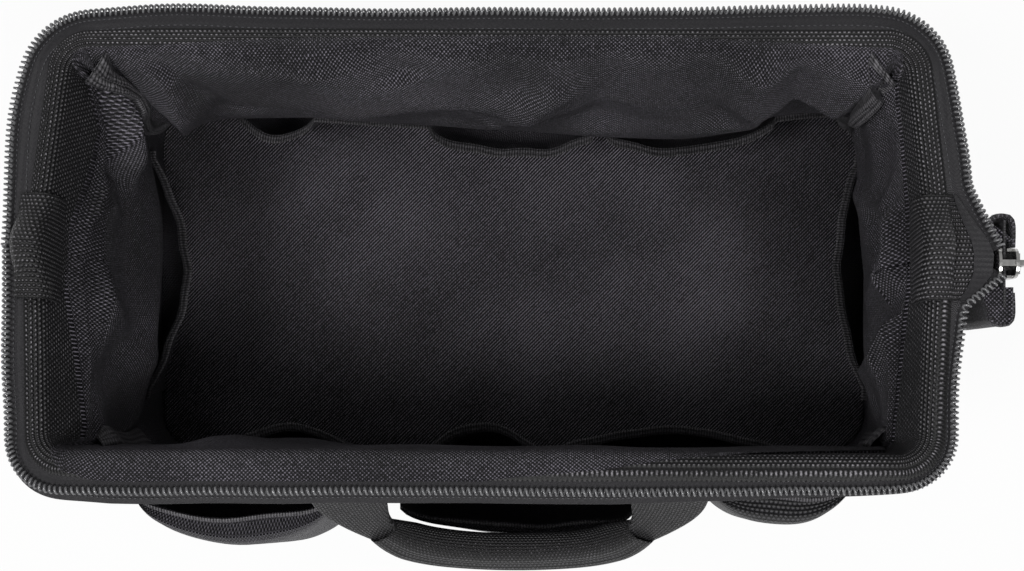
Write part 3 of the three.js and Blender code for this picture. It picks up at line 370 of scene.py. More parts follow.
def wall_at(side, s, rise, out):
    """A point of a wall. rise is 0 at the floor and 1 under the rim webbing, and the wall runs straight
    from its foot to its head with a sine of sag and the folds; out is measured outwards from its
    inner face. Below 0 it goes straight down past the board."""
    start, end, sag = SIDES[side]
    s, rise, out = np.broadcast_arrays(np.asarray(s, float), rise, out)
    foot_x, foot_y, foot_out_x, foot_out_y = ring(BASE_LINE, s)
    head_x, head_y, head_out_x, head_out_y = ring(gate_line(WALL_INSET), s)
    up = np.clip(rise, 0, 1)[..., None]
    foot = points_of(foot_x, foot_y, FLOOR_TOP)
    point = foot + (from_mouth(head_x, head_y, WALL_TOP) - foot) * up
    point[..., 2] += np.minimum(rise, 0) * 5.2
    foot_out, head_out = points_of(foot_out_x, foot_out_y, 0.0), points_of(head_out_x, head_out_y, 0.0)
    outward = unit(foot_out * (1 - up) + head_out * up)
    along = np.mod(s - start, 4) / (end - start)
    inward = sag * np.sin(np.pi * up[..., 0]) * np.sin(np.pi * along)
    inward = inward + wall_folds(side, along, up[..., 0]) * np.sin(np.pi * np.clip(along, 0, 1)) ** 0.4
    return point + outward * (out - inward)[..., None]


WEBBING_CROWN, WEBBING_FOOT = -12.8, -43.8
WEBBING_FACE, WEBBING_BACK, WEBBING_LEAN = -10.5, -17.6, 8.0


def sleeve_face(z):
    """How far the outer face of the rim webbing lies from the rim line, at a height below the hinge: it
    leans inwards evenly from its crown to its foot."""
    return WEBBING_FACE - WEBBING_LEAN * part_of(z, WEBBING_CROWN, WEBBING_FOOT)


# Creases of the inner face: (along, height) of each end, width and size in millimetres. Along runs
# from 0 to 1 on its wall; height is 1 at the foot of the rim webbing and 2 at the cloth's upper edge.
CREASES = {
    "rear": [
        ((0.356, 2.0), (0.404, 0.7), 7, -5.5), ((0.42, 1.5), (0.53, 0.7), 9, 6),
        ((0.851, 2.0), (0.784, 0.75), 6, -7), ((0.834, 1.7), (0.89, 0.6), 6, 8),
        ((0.905, 1.95), (0.893, 0.65), 4, -5), ((0.273, 2.0), (0.245, 0.8), 7, -7),
        ((0.21, 1.95), (0.2, 0.65), 10, 6), ((0.165, 1.8), (0.17, 0.75), 5, -5),
        ((0.62, 2.0), (0.59, 1.5), 8, -5), ((0.70, 1.9), (0.62, 0.65), 14, 4),
        ((0.5, 1.9), (0.46, 1.2), 8, -3), ((0.1, 1.9), (0.13, 0.8), 5, 4),
    ],
    "left": [
        ((0.06, 2.0), (0.28, 0.8), 7, 10), ((0.13, 1.9), (0.34, 0.85), 6, -7),
        ((0.02, 1.9), (0.10, 0.6), 5, -5), ((0.34, 1.7), (0.30, 0.9), 3, 2.5),
        ((0.38, 1.7), (0.35, 0.9), 3, 2.5), ((0.55, 1.3), (0.75, 0.55), 10, 5),
        ((0.85, 1.8), (0.62, 0.65), 7, -5),
    ],
    "right": [
        ((0.43, 2.0), (0.33, 0.7), 6, -8), ((0.36, 2.0), (0.26, 0.7), 6, 7),
        ((0.52, 2.0), (0.42, 0.7), 8, 6), ((0.95, 1.9), (0.8, 0.65), 6, 5),
        ((0.77, 1.8), (0.6, 0.75), 6, -5), ((0.6, 1.8), (0.7, 0.65), 8, 5),
        ((0.66, 1.9), (0.56, 0.8), 5, -5), ((0.12, 1.6), (0.2, 0.8), 6, -4),
    ],
    "front": [((0.2, 1.4), (0.3, 0.55), 10, 3), ((0.7, 1.2), (0.6, 0.5), 10, -3)],
}
SLACK = {"rear": 5.0, "left": 4.0, "right": 3.0, "front": 1.0}
LONG_RUN, SHORT_RUN, WALL_RISE, COVER_RISE = 345, 150, 150, 45


def wall_measure(side, along, height):
    """Distance along a wall and up its inner face, in millimetres."""
    run = LONG_RUN if side in LONG_SIDES else SHORT_RUN
    return along * run, WALL_RISE * np.minimum(height, 1) + COVER_RISE * np.maximum(height - 1, 0)


def looseness(side, along, height):
    """How far the inner face hangs off its wall, in millimetres: a few millimetres of slack, with the
    creases. Across a crease the cloth rises by size times exp(-distance / width), with a rounded
    crest, and both fade out at the crease's ends, at the pockets and at the upper edge."""
    across, up = wall_measure(side, along, height)
    total = SLACK[side] + 1.2 * ripple(across / 13, up / 16, 17)
    for first, last, wide, size in CREASES[side]:
        begin, end = (np.array(wall_measure(side, *place)) for place in (first, last))
        way = end - begin
        length = np.hypot(*way)
        part = ((across - begin[0]) * way[0] + (up - begin[1]) * way[1]) / length ** 2
        off = ((across - begin[0]) * way[1] - (up - begin[1]) * way[0]) / length
        off = off + 1.6 * np.sin(part * 5 + size)
        fade = np.clip(part / 0.25 + 0.5, 0, 1) * np.clip((1 - part) / 0.3 + 0.2, 0, 1)
        total = total + 1.35 * size * np.exp(0.3 - np.sqrt((off / wide) ** 2 + 0.09)) * eased(fade)
    total = np.logaddexp(0, (total - 0.4) * 1.5) / 1.5 + 0.2
    ends = np.clip(np.minimum(across, wall_measure(side, 1, 0)[0] - across) / 26 + 0.05, 0, 1)
    return total * part_of(height, 2, 1.7) * eased(part_of(height, 0.45, 0.65)) * ends


def walked(line):
    """Distance of each point of a line from its start, along the line."""
    return np.concatenate([[0], np.cumsum(np.linalg.norm(np.diff(line, axis=0), axis=1))])


# The cloth's way over the webbing, as (distance out of the rim line, height over the mouth's plane),
# and how far it is drawn along that way on each wall, from the wall's start to its end.
COVER_PATH = np.array([
    [-22.7, -44.8], [-18.6, -13.5], [-18.0, -9.8], [-17.0, -7.2], [-15.6, -5.4], [-13.8, -4.2],
    [-12.0, -3.4], [-10.6, -3.2], [-9.3, -3.3], [-7.5, -3.4], [-5.6, -3.7], [-4.2, -4.2],
])
COVER_AWAY = unit(np.gradient(COVER_PATH, axis=0)[:, ::-1] * (-1, 1))
COVER_AWAY[0] = (-1, 0)
COVER_REACH = {
    "rear": ([0, 0.1, 0.2, 0.3, 0.5, 0.7, 0.8, 0.9, 1], [41.5, 42, 44, 46.5, 46.5, 45.5, 43.5, 41.5, 41]),
    "left": ([0, 0.06, 0.12, 0.2, 0.3, 0.42, 0.55, 0.7, 0.85, 0.93, 1],
             [41, 38, 24, 9, 10, 20, 23, 14, 8, 14, 40]),
    "front": ([0, 0.06, 0.12, 0.5, 0.62, 0.75, 0.88, 1], [40, 46, 52, 52, 47, 38, 20, 2]),
    "right": ([0, 0.1, 0.3, 0.5, 0.75, 0.85, 0.93, 1], [2, 8, 14, 20, 25, 25, 34, 41.5]),
}


def inner_face(side, s, height):
    """A point of a wall's inner face. height is 0 at the floor and 1 at the foot of the rim webbing; from
    1 to 2 the cloth lies over the webbing's inner face and its crown, as far as COVER_REACH."""
    start, end, _ = SIDES[side]
    s, height = np.broadcast_arrays(np.asarray(s, float), height)
    along = np.mod(s - start, 4) / (end - start)
    slack = looseness(side, along, height)
    low = wall_at(side, s, np.minimum(height, 1), -3.2 * part_of(height, 0.84, 0.97) - slack)
    distance = np.clip(height - 1, 0, 1) * np.interp(along, *COVER_REACH[side])
    inset, z = (np.interp(distance, walked(COVER_PATH), COVER_PATH[:, k])
                + slack * np.interp(distance, walked(COVER_PATH), COVER_AWAY[:, k]) for k in (0, 1))
    x, y, out_x, out_y = ring(gate_line(0), s)
    high = from_mouth(x + out_x * inset, y + out_y * inset, z - 1.2 * part_of(height, 1.96, 2.0))
    return np.where((height > 1)[..., None], high, low)


def outer_face(side, s, rise, part, over):
    """The outer side of a wall: up to the webbing's foot by rise, then by part up the webbing's outer
    face, to the height over."""
    z = WALL_TOP + (over - WALL_TOP) * part
    lie = np.clip(part * 4, 0, 1)
    face = (sleeve_face(z) + 2.4) * lie + WEBBING_BACK * (1 - lie)
    x, y, out_x, out_y = ring(gate_line(0), s)
    high = from_mouth(x + out_x * face, y + out_y * face, z)
    return np.where((part > 0)[..., None], high, wall_at(side, s, rise, 1.9))


def measured(points):
    """Distance along a grid's middle row and up its middle column, in millimetres, for the weave."""
    rows, columns = points.shape[:2]
    return np.stack(grid(walked(points[:, columns // 2]), walked(points[rows // 2])), -1)


def cloth(name, face, back, uv=None, **more):
    """A sheet with thickness: a grid of points for each side, and a strip round the edge, which is
    kept sharp. Its weave is measured on the face unless uv gives the measure."""
    rows, columns = face.shape[:2]
    count = rows * columns
    quads = grid_faces(rows, columns)
    index = np.arange(count).reshape(rows, columns)
    rim = np.concatenate([index[:-1, 0], index[-1, :-1], index[:0:-1, -1], index[0, :0:-1]])
    following = np.roll(rim, -1)
    strip = np.stack([following, rim, rim + count, following + count], -1)
    faces = np.concatenate([quads, quads[:, ::-1] + count, strip])
    points = np.concatenate([face.reshape(-1, 3), back.reshape(-1, 3)])
    uv = measured(face) if uv is None else uv
    piece = mesh_piece(name, points, faces, np.concatenate([uv.reshape(-1, 2)] * 2), **more)
    piece.data.set_sharp_from_angle(angle=np.radians(55))
    return piece


def bend_with(piece, gate, upright=False):
    """Bakes the piece's place into its mesh. A turning line for its half of the frame, slanting up from
    the hinge line, or running up its height for an upright piece, is worked out but not used, so the cloth
    does not turn with the frame."""
    reach_y, reach_z = {"rear": (0.0222, 0.0170), "front": (-0.0337, 0.0302)}[gate]
    start = (0.0, 0.0, HINGE_HEIGHT * 0.001)
    end = (0.0, reach_y, start[2] + reach_z)
    if upright:
        low, high = {"rear": (0.090, 0.133), "front": (0.097, 0.157)}[gate]
        start, end = (0.0, 0.0, low), (0.0, 0.0, high)
    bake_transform(piece)


# The ends are made in two, one for each half of the frame, and meet in the middle.
WALL_PIECES = [
    ("rear_wall_cloth", "rear", 0.4, 1.6, 240, -33.0, "rear", "rear_wall"),
    ("front_wall_cloth", "front", 2.4, 3.6, 240, -33.0, "front", "front_wall"),
    ("right_end_cloth_rear", "right", 4.0, 4.4, 80, -8.5, "rear", "right_end_wall"),
    ("right_end_cloth_front", "right", 3.6, 4.0, 80, -8.5, "front", "right_end_wall"),
    ("left_end_cloth_rear", "left", 1.6, 2.0, 80, -8.5, "rear", "left_end_wall"),
    ("left_end_cloth_front", "left", 2.0, 2.4, 80, -8.5, "front", "left_end_wall"),
]
heights = np.concatenate([[-1, -0.5], np.linspace(0, 1, 64), np.linspace(1, 2, 25)[1:]])
for name, side, start, end, count, over, gate, node_name in WALL_PIECES:
    s, height = grid(np.linspace(start, end, count), heights)
    inner = inner_face(side, s, height)
    outer = outer_face(side, s, np.minimum(height, 1), np.maximum(height - 1, 0), over)
    wall = cloth(name, outer, inner, measured(inner), material=wall_cloth)
    bend_with(wall, gate)
    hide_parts(node_name)

# Bindings and tapes. Ribbed tape is folded over raw edges and sewn through, in the corner seams
# above the pockets and along every pocket's top.
binding_tape = woven("binding_ribbed_tape", (0.004, 0.0038, 0.0045), (0.13, 0.125, 0.135), 1.35, 2.9,
                     "cord", depth=0.6)


def point_at(distance, points, at):
    """For each column of a grid, the point whose distance down the column is at, on the straight
    line between the two rows on either side."""
    last = np.clip((distance <= at).sum(0) - 1, 0, len(distance) - 2)
    column = np.arange(points.shape[1])
    part = part_of(at, distance[last, column], distance[last + 1, column])[:, None]
    return points[last, column] * (1 - part) + points[last + 1, column] * part


# For each tape: its two walls, its seam, half its width, how full it stands, and its upper end.
for name, first, second, seam, gate, half_width, full, upper in [
    ("corner_tape_rear_right", "right", "rear", 4.4, "rear", 13.5, 5.0, 1.95),
    ("corner_tape_rear_left", "rear", "left", 1.6, "rear", 13.5, 5.0, 1.95),
    ("corner_tape_front_left", "left", "front", 2.4, "front", 8.5, 1.2, 1.25),
    ("corner_tape_front_right", "front", "right", 3.6, "front", 8.5, 1.2, 1.25),
]:
    s, height = grid(np.linspace(-0.2, 0.2, 81), np.linspace(0.47, upper, 80))
    near = inner_face(first, np.minimum(s, 0) + seam, height)
    far = inner_face(second, np.maximum(s, 0) + seam - (4 if seam > 4 else 0), height)
    points = np.where((s < 0)[..., None], near, far)
    along = np.cumsum(np.linalg.norm(np.diff(points, axis=0, prepend=points[:1]), axis=2), axis=0)
    along = along - along[40]
    edges = [point_at(along, points, at) for at in (-half_width, half_width)]
    across = np.linspace(-1, 1, 25)[:, None, None]
    middle, half = (edges[1] + edges[0]) / 2, (edges[1] - edges[0]) / 2
    into = unit(np.cross(half, np.gradient(middle, axis=0)))
    into *= np.sign(np.sum(into * -middle * (1, 1, 0), axis=1, keepdims=True))
    swell = (1 - across ** 4) ** 0.5 - 0.3 * mound(across, 0, 0.12) - 0.1 * mound(np.abs(across), 0.8, 0.07)
    faces = [middle + half * across + into * (0.4 + full * swell - back) for back in (0.0, 1.3)]
    uv = points_of(walked(middle), across[..., 0] * 0.7 * half_width)
    tape = cloth(name + "_ribbed", *faces, uv, material=binding_tape)
    bend_with(tape, gate)
    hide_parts(name)

# Pockets. Each row is one panel sewn to its wall between the pockets and along the floor, with a
# ribbed binding on its top edge. Inside they stand open a finger's width, outside they are fuller.
INNER_TOP, INNER_DEPTH, POCKET_DIP, BINDING_RISE = 0.46, 12.0, 0.03, 0.03
# The middle of each wall round the outline, and which way x or y counts along it.
MIDDLES = {"rear": (1, -1), "front": (3, 1), "left": (2, -1), "right": (4, 1)}
outer_cloth = woven("outer_basket_weave", (0.002, 0.0018, 0.0026), (0.1, 0.093, 0.112), 0.8, 0.8,
                    depth=0.5, power=3.4)
mesh_cloth = woven("mesh_pocket_net", (0.003, 0.003, 0.0035), (0.075, 0.073, 0.08), 2.3, 2.3, "ribbed",
                   depth=0.6)


def ring_of(side, place):
    """How far round the outline a place on a wall is, from its x on a long wall or y on an end: the
    middle of the wall, and on by the share of the straight edge that the place has come."""
    middle, way = MIDDLES[side]
    reach, share = (BASE_LINE[0], 1 - CORNER_PART) if side in LONG_SIDES else (BASE_LINE[1], END_PART)
    return middle + way * place / reach * share


def pocket_row(name, side, cells, ends, top, depth, panel_cloth, nodes, inside=False, bend=None,
               slot="lining", boxy=(1.0,), curl=None, sizes=(1.0,), flare=0.0):
    """A panel and its binding. Over each pocket the panel stands off by depth times a sine across it
    and a quarter sine up from the floor; its top dips in the middle of each pocket. A slack pocket's
    top rolls back in by its share in curl, and a full one spreads sideways by flare millimetres."""
    across_cells = [np.linspace(*cell, 34) for cell in cells]
    place = np.unique(np.concatenate([np.linspace(*ends, 90), *across_cells]))[::MIDDLES[side][1]]
    s_values = ring_of(side, place)
    full, slack, spread = np.zeros((3, len(place)))
    for k, ((a, b), share) in enumerate(zip(cells, curl or [0.0] * len(cells))):
        within = part_of(place, a, b)
        unevenly = 1 + 0.22 * ripple(place / 9, 0 * place, 13)
        slack = np.maximum(slack, share * np.sin(np.pi * within) ** 0.5 * unevenly)
        full = np.maximum(full, np.sin(np.pi * within) ** boxy[k % len(boxy)] * sizes[k % len(sizes)])
        spread = np.where((within > 0) & (within < 1), flare * (2 * within - 1), spread)
    seed = len(name) + len(cells)
    flutter = (1.3 if inside else 0.4) * ripple(place / 5.5, 0 * place, seed) * np.clip(full * 2, 0, 1)
    away, rest = (-1.0, -0.5) if inside else (1.0, 2.4)
    spread = ring_of(side, spread) - ring_of(side, 0)
    full, slack, spread, flutter = (row[:, None] for row in (full, slack, spread, flutter))
    lip = top * (1 - (POCKET_DIP + 0.04 * slack) * full)

    def panel(extra):
        """The panel's points, from the floor at t = 0 to its top edge at t = 1, extra off the wall."""
        s, t = grid(s_values, np.linspace(0, 1, 26))
        rolled = slack * part_of(t, 0.8, 1.0) ** 1.3
        fullness = full * np.sin(np.pi / 2 * part_of(t, 0, 0.5)) * (1 - rolled)
        crumple = (0.5 + 2.5 * slack) * ripple(s * 40, t * 6, 11) * full * np.sin(np.pi * t)
        lift = np.where(slack > 0, np.minimum(t / 0.86, 1 - 0.25 * np.clip(t - 0.86, 0, 1)), t)
        off = depth * fullness + crumple + extra + flutter * t ** 2
        return wall_at(side, s + spread * fullness, lift * lip, rest + away * off)

    def binding(extra):
        """One side of the binding: a strip over the panel's top edge, rounded across by a circle."""
        s, t = grid(s_values, np.linspace(0, 1, 5))
        round_off = np.sqrt(np.clip(1 - (2 * t - 1) ** 2, 0, 1))
        rise = lip * np.where(slack > 0, 0.965, 1.0) + (t - 0.45) * BINDING_RISE
        lean = 3.2 * (t - 0.4) if inside else 0.0
        off = depth * full * (1 - slack) + 0.6 + lean + flutter + extra * (0.35 + 0.65 * round_off)
        return wall_at(side, s + spread * full, rise, rest + away * off)

    piece = cloth(name + "_panel", panel(1.1), panel(0.0), material=panel_cloth)
    edge = cloth(name + "_bound_edge", binding(1.6), binding(-0.9), material=binding_tape)
    for made, node_name, of_slot in ((piece, nodes[0], slot), (edge, nodes[1], "binding")):
        if bend:
            bend_with(made, bend, upright=True)
        else:
            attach(made, "root")
        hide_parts(node_name)


LONG_REACH, SHORT_REACH = 171.0, 62.0
for side, cells, reach, boxy in [
    ("rear", [(-138, -98), (-40, 45), (51, 138)], LONG_REACH, (0.8, 0.4, 0.45)),
    ("front", [(-140, -78), (-36, 16), (28, 140)], LONG_REACH, (0.8,)),
    ("left", [(-57.7, 57.7)], SHORT_REACH, (0.8,)),
    ("right", [(-55.8, 55.8)], SHORT_REACH, (0.8,)),
]:
    pocket_row(side + "_inner", side, cells, (-reach, reach), INNER_TOP, INNER_DEPTH, lining_cloth,
               (side + "_inner_pockets", side + "_inner_binding"), inside=True, boxy=boxy)
pocket_row("front_outer", "front", [(-168.5, -76), (-42.5, 61.5)], (-LONG_REACH, 95.0), 0.79, 34.0,
           outer_cloth, ("front_outer_pocket", "front_outer_binding"), bend="front", slot="cloth",
           boxy=(0.35, 0.15), curl=[0.3, 0.12], sizes=(1.2, 1.0), flare=9.0)
pocket_row("front_mesh", "front", [(97.5, 168.5)], (95.5, LONG_REACH), 0.8, 29.0, mesh_cloth,
           ("front_mesh_pocket", "front_mesh_binding"), bend="front", slot="mesh",
           boxy=(0.5,), curl=[0.4], flare=6.0)
pocket_row("rear_outer", "rear", [(-168.5, -85.5), (-51.5, 51.5), (88, 168.5)], (-LONG_REACH, LONG_REACH),
           0.58, 12.0, outer_cloth, ("rear_outer_pocket", "rear_outer_binding"), bend="rear", slot="cloth")

# Straps. Webbing that carries the handles is sewn up the outside of each long wall, from the floor
# seam over the pocket cloth to the rim.
strap_webbing = woven("strap_webbing", (0.002, 0.0018, 0.0022), (0.11, 0.103, 0.114), 1.8, 1.5, "ribbed",
                      depth=0.9, power=5.0)
STRAP_HALF = 16
# For each strap: its wall and the x of its middle.
for name, side, centre in [
    ("front_strap_left", "front", -59.0), ("front_strap_right", "front", 78.0),
    ("rear_strap_left", "rear", -68.5), ("rear_strap_right", "rear", 68.5),
]:
    width = np.sort(ring_of(side, np.linspace(centre - STRAP_HALF, centre + STRAP_HALF, 15)))
    s, rise = grid(width, np.linspace(0, 0.99, 60))
    thicker_edge = 0.35 * np.clip(np.abs(np.linspace(-1, 1, 15)[:, None]) * 6 - 5, 0, 1)
    inner, outer = wall_at(side, s, rise, 4.3), wall_at(side, s, rise, 5.9 + thicker_edge)
    strap = cloth(name + "_web", outer, inner, measured(inner), material=strap_webbing)
    bend_with(strap, side)
    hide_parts(name)

# Rim sleeves. Wide webbing is folded over the steel rod of each half of the frame and sewn to
# itself and the wall below it; inside the bag it shows as a band under the zip.
rim_webbing = woven("rim_webbing", (0.002, 0.0018, 0.0022), (0.25, 0.24, 0.26), 2.0, 1.8, "ribbed",
                    depth=0.9, power=4.6)


def along_line(at, distance, line):
    """The points of a flat line at given distances along it."""
    return np.stack([np.interp(at, distance, line[:, k]) for k in (0, 1)], -1)


def even_path(line, count=None, spacing=None):
    """Stations along a flat line, evenly spaced: place, way out, and distance from its start."""
    distance = walked(line)
    even = np.linspace(0, distance[-1], count or int(distance[-1] / spacing) + 1)
    place = along_line(even, distance, line)
    along = unit(np.gradient(place, axis=0))
    return place, along[:, ::-1] * (1, -1), even


def end_x(y):
    """How far out the rim's straight, leaning end is at y."""
    return ARC_X + (GATE_RADIUS - (y - ARC_Y) * np.sin(LEAN)) / np.cos(LEAN)


def gate_path(start, spacing):
    """Stations round one half of the frame, from y = start at the right end to the same at the left:
    the straight end, the corner's arc, and the same mirrored."""
    turns = np.linspace(LEAN, np.pi / 2, 24)
    arc = np.stack([ARC_X + GATE_RADIUS * np.cos(turns), ARC_Y + GATE_RADIUS * np.sin(turns)], -1)
    right = np.concatenate([[[end_x(start), start]], arc])
    return even_path(np.concatenate([right, (right * (-1, 1))[::-1]]), spacing=spacing)


def carried(place, out, section):
    """A section carried along a path. Each point of it, (across, height), lies across times the way
    out from its station, at that height."""
    flat = place[:, None] + out[:, None] * section[..., :1]
    return np.concatenate([flat, section[..., 1:]], -1)


def in_mouth(points, turn=(1, 1, 1)):
    """Points of the mouth's own plane, turned or mirrored by their signs, in the bag's own frame."""
    return from_mouth(*np.moveaxis(points * turn, -1, 0))


def sleeve_section(even, seed, lap):
    """Two layers of webbing over the rod: a crown that laps the zip tape, flat sides, and a foot that
    waves. lap is how far the crown reaches over the tape, from the right end to the left."""
    crown = np.array([
        [-10.9, -12.5], [-10.7, -9.5], [-10.5, -7.0], [-10.3, -5.8], [-10.0, -4.8], [-10.2, -4.1],
        [-10.7, -3.8], [-11.4, -3.9], [-12.4, -4.3], [-14.0, -5.0], [-15.6, -6.2], [-16.8, -8.0],
        [-17.4, -10.5],
    ])
    drops = np.linspace(-13.5, -43.5, 13)
    inner = np.stack([WEBBING_BACK - 4.0 * (-13.5 - drops) / 30, drops], -1)
    foot = np.array([[-21.4, -44.3], [-20.3, -44.6], [-19.4, -44.2]])
    outer = np.stack([sleeve_face(drops[::-1]) - 0.6, drops[::-1]], -1)
    section = np.concatenate([crown, inner, foot, outer])
    wave = np.broadcast_to(section, (len(even), *section.shape)).copy()
    laps = np.interp(even / even[-1], [0, 0.12, 0.24, 0.76, 0.88, 1], lap)
    wave[:, 3:8, 0] += laps[:, None] * np.array([0.6, 1.0, 1.0, 0.8, 0.3])
    hang = part_of(section[:, 1], -13, -44) ** 1.5
    wave[..., 0] += 0.7 * ripple(even[:, None] / 17, 0, seed) * hang
    wave[..., 1] += 0.35 * ripple(even[:, None] / 26, 3, seed + 1) * hang
    return wave


for gate, turn, seed, lap in [
    ("rear", (1, 1, 1), 21, (3.0, 3.0, 2.6, 2.6, 0.6, 0.4)),
    ("front", (-1, -1, 1), 31, (0.4, 0.6, 4.2, 4.2, 3.0, 3.0)),
]:
    place, out, even = gate_path(16.0, 2.5)
    section = sleeve_section(even, seed, lap)
    uv = np.stack(grid(even, walked(section[0])), -1)
    sleeve = tube(gate + "_rim_band", in_mouth(carried(place, out, section), turn), uv,
                  material=rim_webbing, body=gate + "_gate")
    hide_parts(gate + "_rim_sleeve")

# Rods, rivets and hinge covers. Bright steel rod is bent to a U, its flattened ends riveted
# together; a square of webbing hides each hinge from inside, and a strip goes over its top.
steel, node, shader = finish("bright_steel_rod", 0.3, metallic=1.0, colour=(0.55, 0.55, 0.56))
for name in ("front_frame_rod", "rear_frame_rod"):
    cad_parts[name].material_slots[0].material = steel
nickel, node, shader = finish("nickel_plate", 0.18, metallic=1.0)
wear = speckle(node, 260.0, Detail=4.0)
join(between(node, wear, (0.3, 0.3, 0.3), (0.72, 0.71, 0.69)), shader.inputs["Base Color"])
join(sums(node, "MULTIPLY_ADD", wear, 0.3, 0.08), shader.inputs["Roughness"])
for name in ("hinge_rivet_left", "hinge_rivet_right", "slider_body", "pull_tab", "zip_stop"):
    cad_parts[name].material_slots[0].material = nickel
COVER_HALF = 15.3
for name, side in (("hinge_cover_left", -1), ("hinge_cover_right", 1)):
    y, z = grid(np.linspace(-COVER_HALF, COVER_HALF, 17), np.linspace(WEBBING_FOOT, -11.0, 21))
    bow = 0.25 * np.cos(y / COVER_HALF * np.pi / 2)
    faces = [from_mouth(side * (x + bow), y, z) for x in (180.1, 181.5)]
    cover = cloth(name + "_web", *faces, points_of(y, z), material=rim_webbing, body="root")
    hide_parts(name)
zip_tape_cloth = woven("zip_tape_herringbone", (0.014, 0.0135, 0.0155), (0.04, 0.038, 0.042), 0.55, 0.55,
                       "herringbone", depth=0.12)
hood_webbing = woven("hinge_webbing", (0.002, 0.0018, 0.0022), (0.19, 0.182, 0.198), 1.6, 1.8, "ribbed",
                     depth=0.9, power=4.2)
# Where the hood's cloth comes down on the outside and turns out towards the zip.
SHOULDER = 190.9


def hood_half(name, side, gate, edge_line):
    """Half of the webbing over a hinge. Across it runs from inside the bag over the rivet and out to
    the zip, as far as edge_line says for y; along it the top is a low bell above the rivet. At the
    right end the tape's lead to the slider lies on its outer part."""
    forward = 1 if gate == "rear" else -1
    y = (np.linspace(0, 22, 30) * forward)[:, None]
    top = -3.3 + 10.7 * mound(y, 0, 13.0)
    low = np.minimum(top, -3.3)
    part = np.linspace(0, 1, 12)[1:]
    climb = [179.2, 179.2, 179.3, 179.9, 181.3, 183.2, 186.0, 188.5, 190.2, 190.6, SHOULDER]
    x = np.concatenate([y * 0 + climb, SHOULDER + (np.interp(y, *edge_line) - SHOULDER) * part], 1)
    outer_z = low - 0.9 * part ** 3 + 0.25 * ripple(y / 5, part * 5, 81)
    z = np.concatenate([y * 0 + [-14.0, -10.0, -7.0], top + [-3.4, -0.9, 0, 0.2, -0.2],
                        top - 1.8 * (top > 0), (top + low) / 2, low, outer_z], 1)
    way = unit(np.stack([np.gradient(z, axis=1), -np.gradient(x, axis=1)], -1))
    faces = [from_mouth(side * (x - way[..., 0] * lift), y, z - way[..., 1] * lift) for lift in (1.3, 0.0)]
    uv = points_of(walked(np.stack([x[0], z[0]], -1)), y)
    hood = cloth(name, *faces, uv, material=hood_webbing)
    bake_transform(hood)
    if side > 0:
        outer_part = [faces[0][:, 16:] + (0, 0, lift) for lift in (0.75, 0.1)]
        lead = cloth("zip_lead_tape_" + gate, *outer_part, uv[:, 16:], material=zip_tape_cloth)
        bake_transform(lead)


TO_SLIDER = [-22, -17, -11, -3, 3, 10, 22], [196.5, 203.0, 208.0, 209.0, 207.0, 202.0, 194.5]
TO_RIM = [-22, 0, 22], [190.64, 191.3, 190.64]
for gate in ("rear", "front"):
    hood_half("hinge_hood_right_" + gate, 1, gate, TO_SLIDER)
    hood_half("hinge_hood_left_" + gate, -1, gate, TO_RIM)

# Zip. A herringbone tape is sewn to each sleeve, and a nylon coil is sewn to the tape's edge, so
# that the loops stand out all round the rim. At the right end both run off to the slider.
coil_nylon, node, shader = finish("coil_nylon", 0.14, specular=0.75)
# Painted glints: the coil's colour is lightened in random specks, standing in for the highlights on its
# loops.
painted_glints = speckle(node, 700.0)
join(between(node, painted_glints, (0.02, 0.02, 0.021), (0.26, 0.26, 0.27)), shader.inputs["Base Color"])
thread, node, shader = finish("sewing_thread", 0.6, colour=(0.07, 0.07, 0.076))
# Where the two halves meet, in x and y; where along y the zip leaves the rim for it, and where it
# stops beyond the far hinge.
ZIP_END = (215.0, -6.5)
LEAD_LEAVES, PAST_HINGE = 26.0, -0.1


def zip_path(tip, spacing):
    """The edge of the zip along one half: from its tip near the slider, slanting to the rim, round the
    half and on to the far hinge, with its corners eased by averaging neighbours."""
    rim, _, _ = gate_path(LEAD_LEAVES, 1.0)
    y = np.linspace(LEAD_LEAVES, PAST_HINGE, 24)[1:]
    far_end = np.stack([-np.interp(y, [0, GATE_DEPTH], [HINGE_HALF, HINGE_HALF - END_TAPER]), y], -1)
    lead = np.linspace([ZIP_END[0] - 1, tip], rim[0], 26)[:-1]
    line = np.concatenate([lead, rim, far_end])
    for _ in range(12):
        line[1:-1] = (line[:-2] + line[1:-1] * 2 + line[2:]) / 4
    return even_path(line, spacing=spacing)


def stitches(name, places, along, up, length, thick, **more):
    """A row of stitches: each is a short ring of four points between two pointed ends, laid along the
    row."""
    across = np.cross(along, up)
    parts = [places + along * end * length / 2 for end in (-1, 1)]
    for k in (-0.55, 0.55):
        centre = places + along * (k * length / 2) + up * thick * 0.25
        parts += [centre + way * thick for way in (across, up, -across, -0.4 * up)]
    k = np.arange(4)
    after = (k + 1) % 4
    pattern = np.concatenate([np.stack(corners, -1) for corners in (
        (0 * k, 2 + k, 2 + after), (2 + k, 6 + k, 2 + after), (2 + after, 6 + k, 6 + after),
        (0 * k + 1, 6 + after, 6 + k))])
    faces = (pattern + 10 * np.arange(len(places))[:, None, None]).reshape(-1, 3)
    return mesh_piece(name, np.stack(parts, 1), faces, **more)


def filament(line, side, wire):
    """Six-sided rings of radius wire round a line: side is a way across it at each point."""
    side = unit(side)
    other = np.cross(unit(np.gradient(line, axis=0)), side)
    turn = (np.arange(6) * np.pi / 3)[:, None]
    return line[:, None] + wire * (side[:, None] * np.cos(turn) + other[:, None] * np.sin(turn))


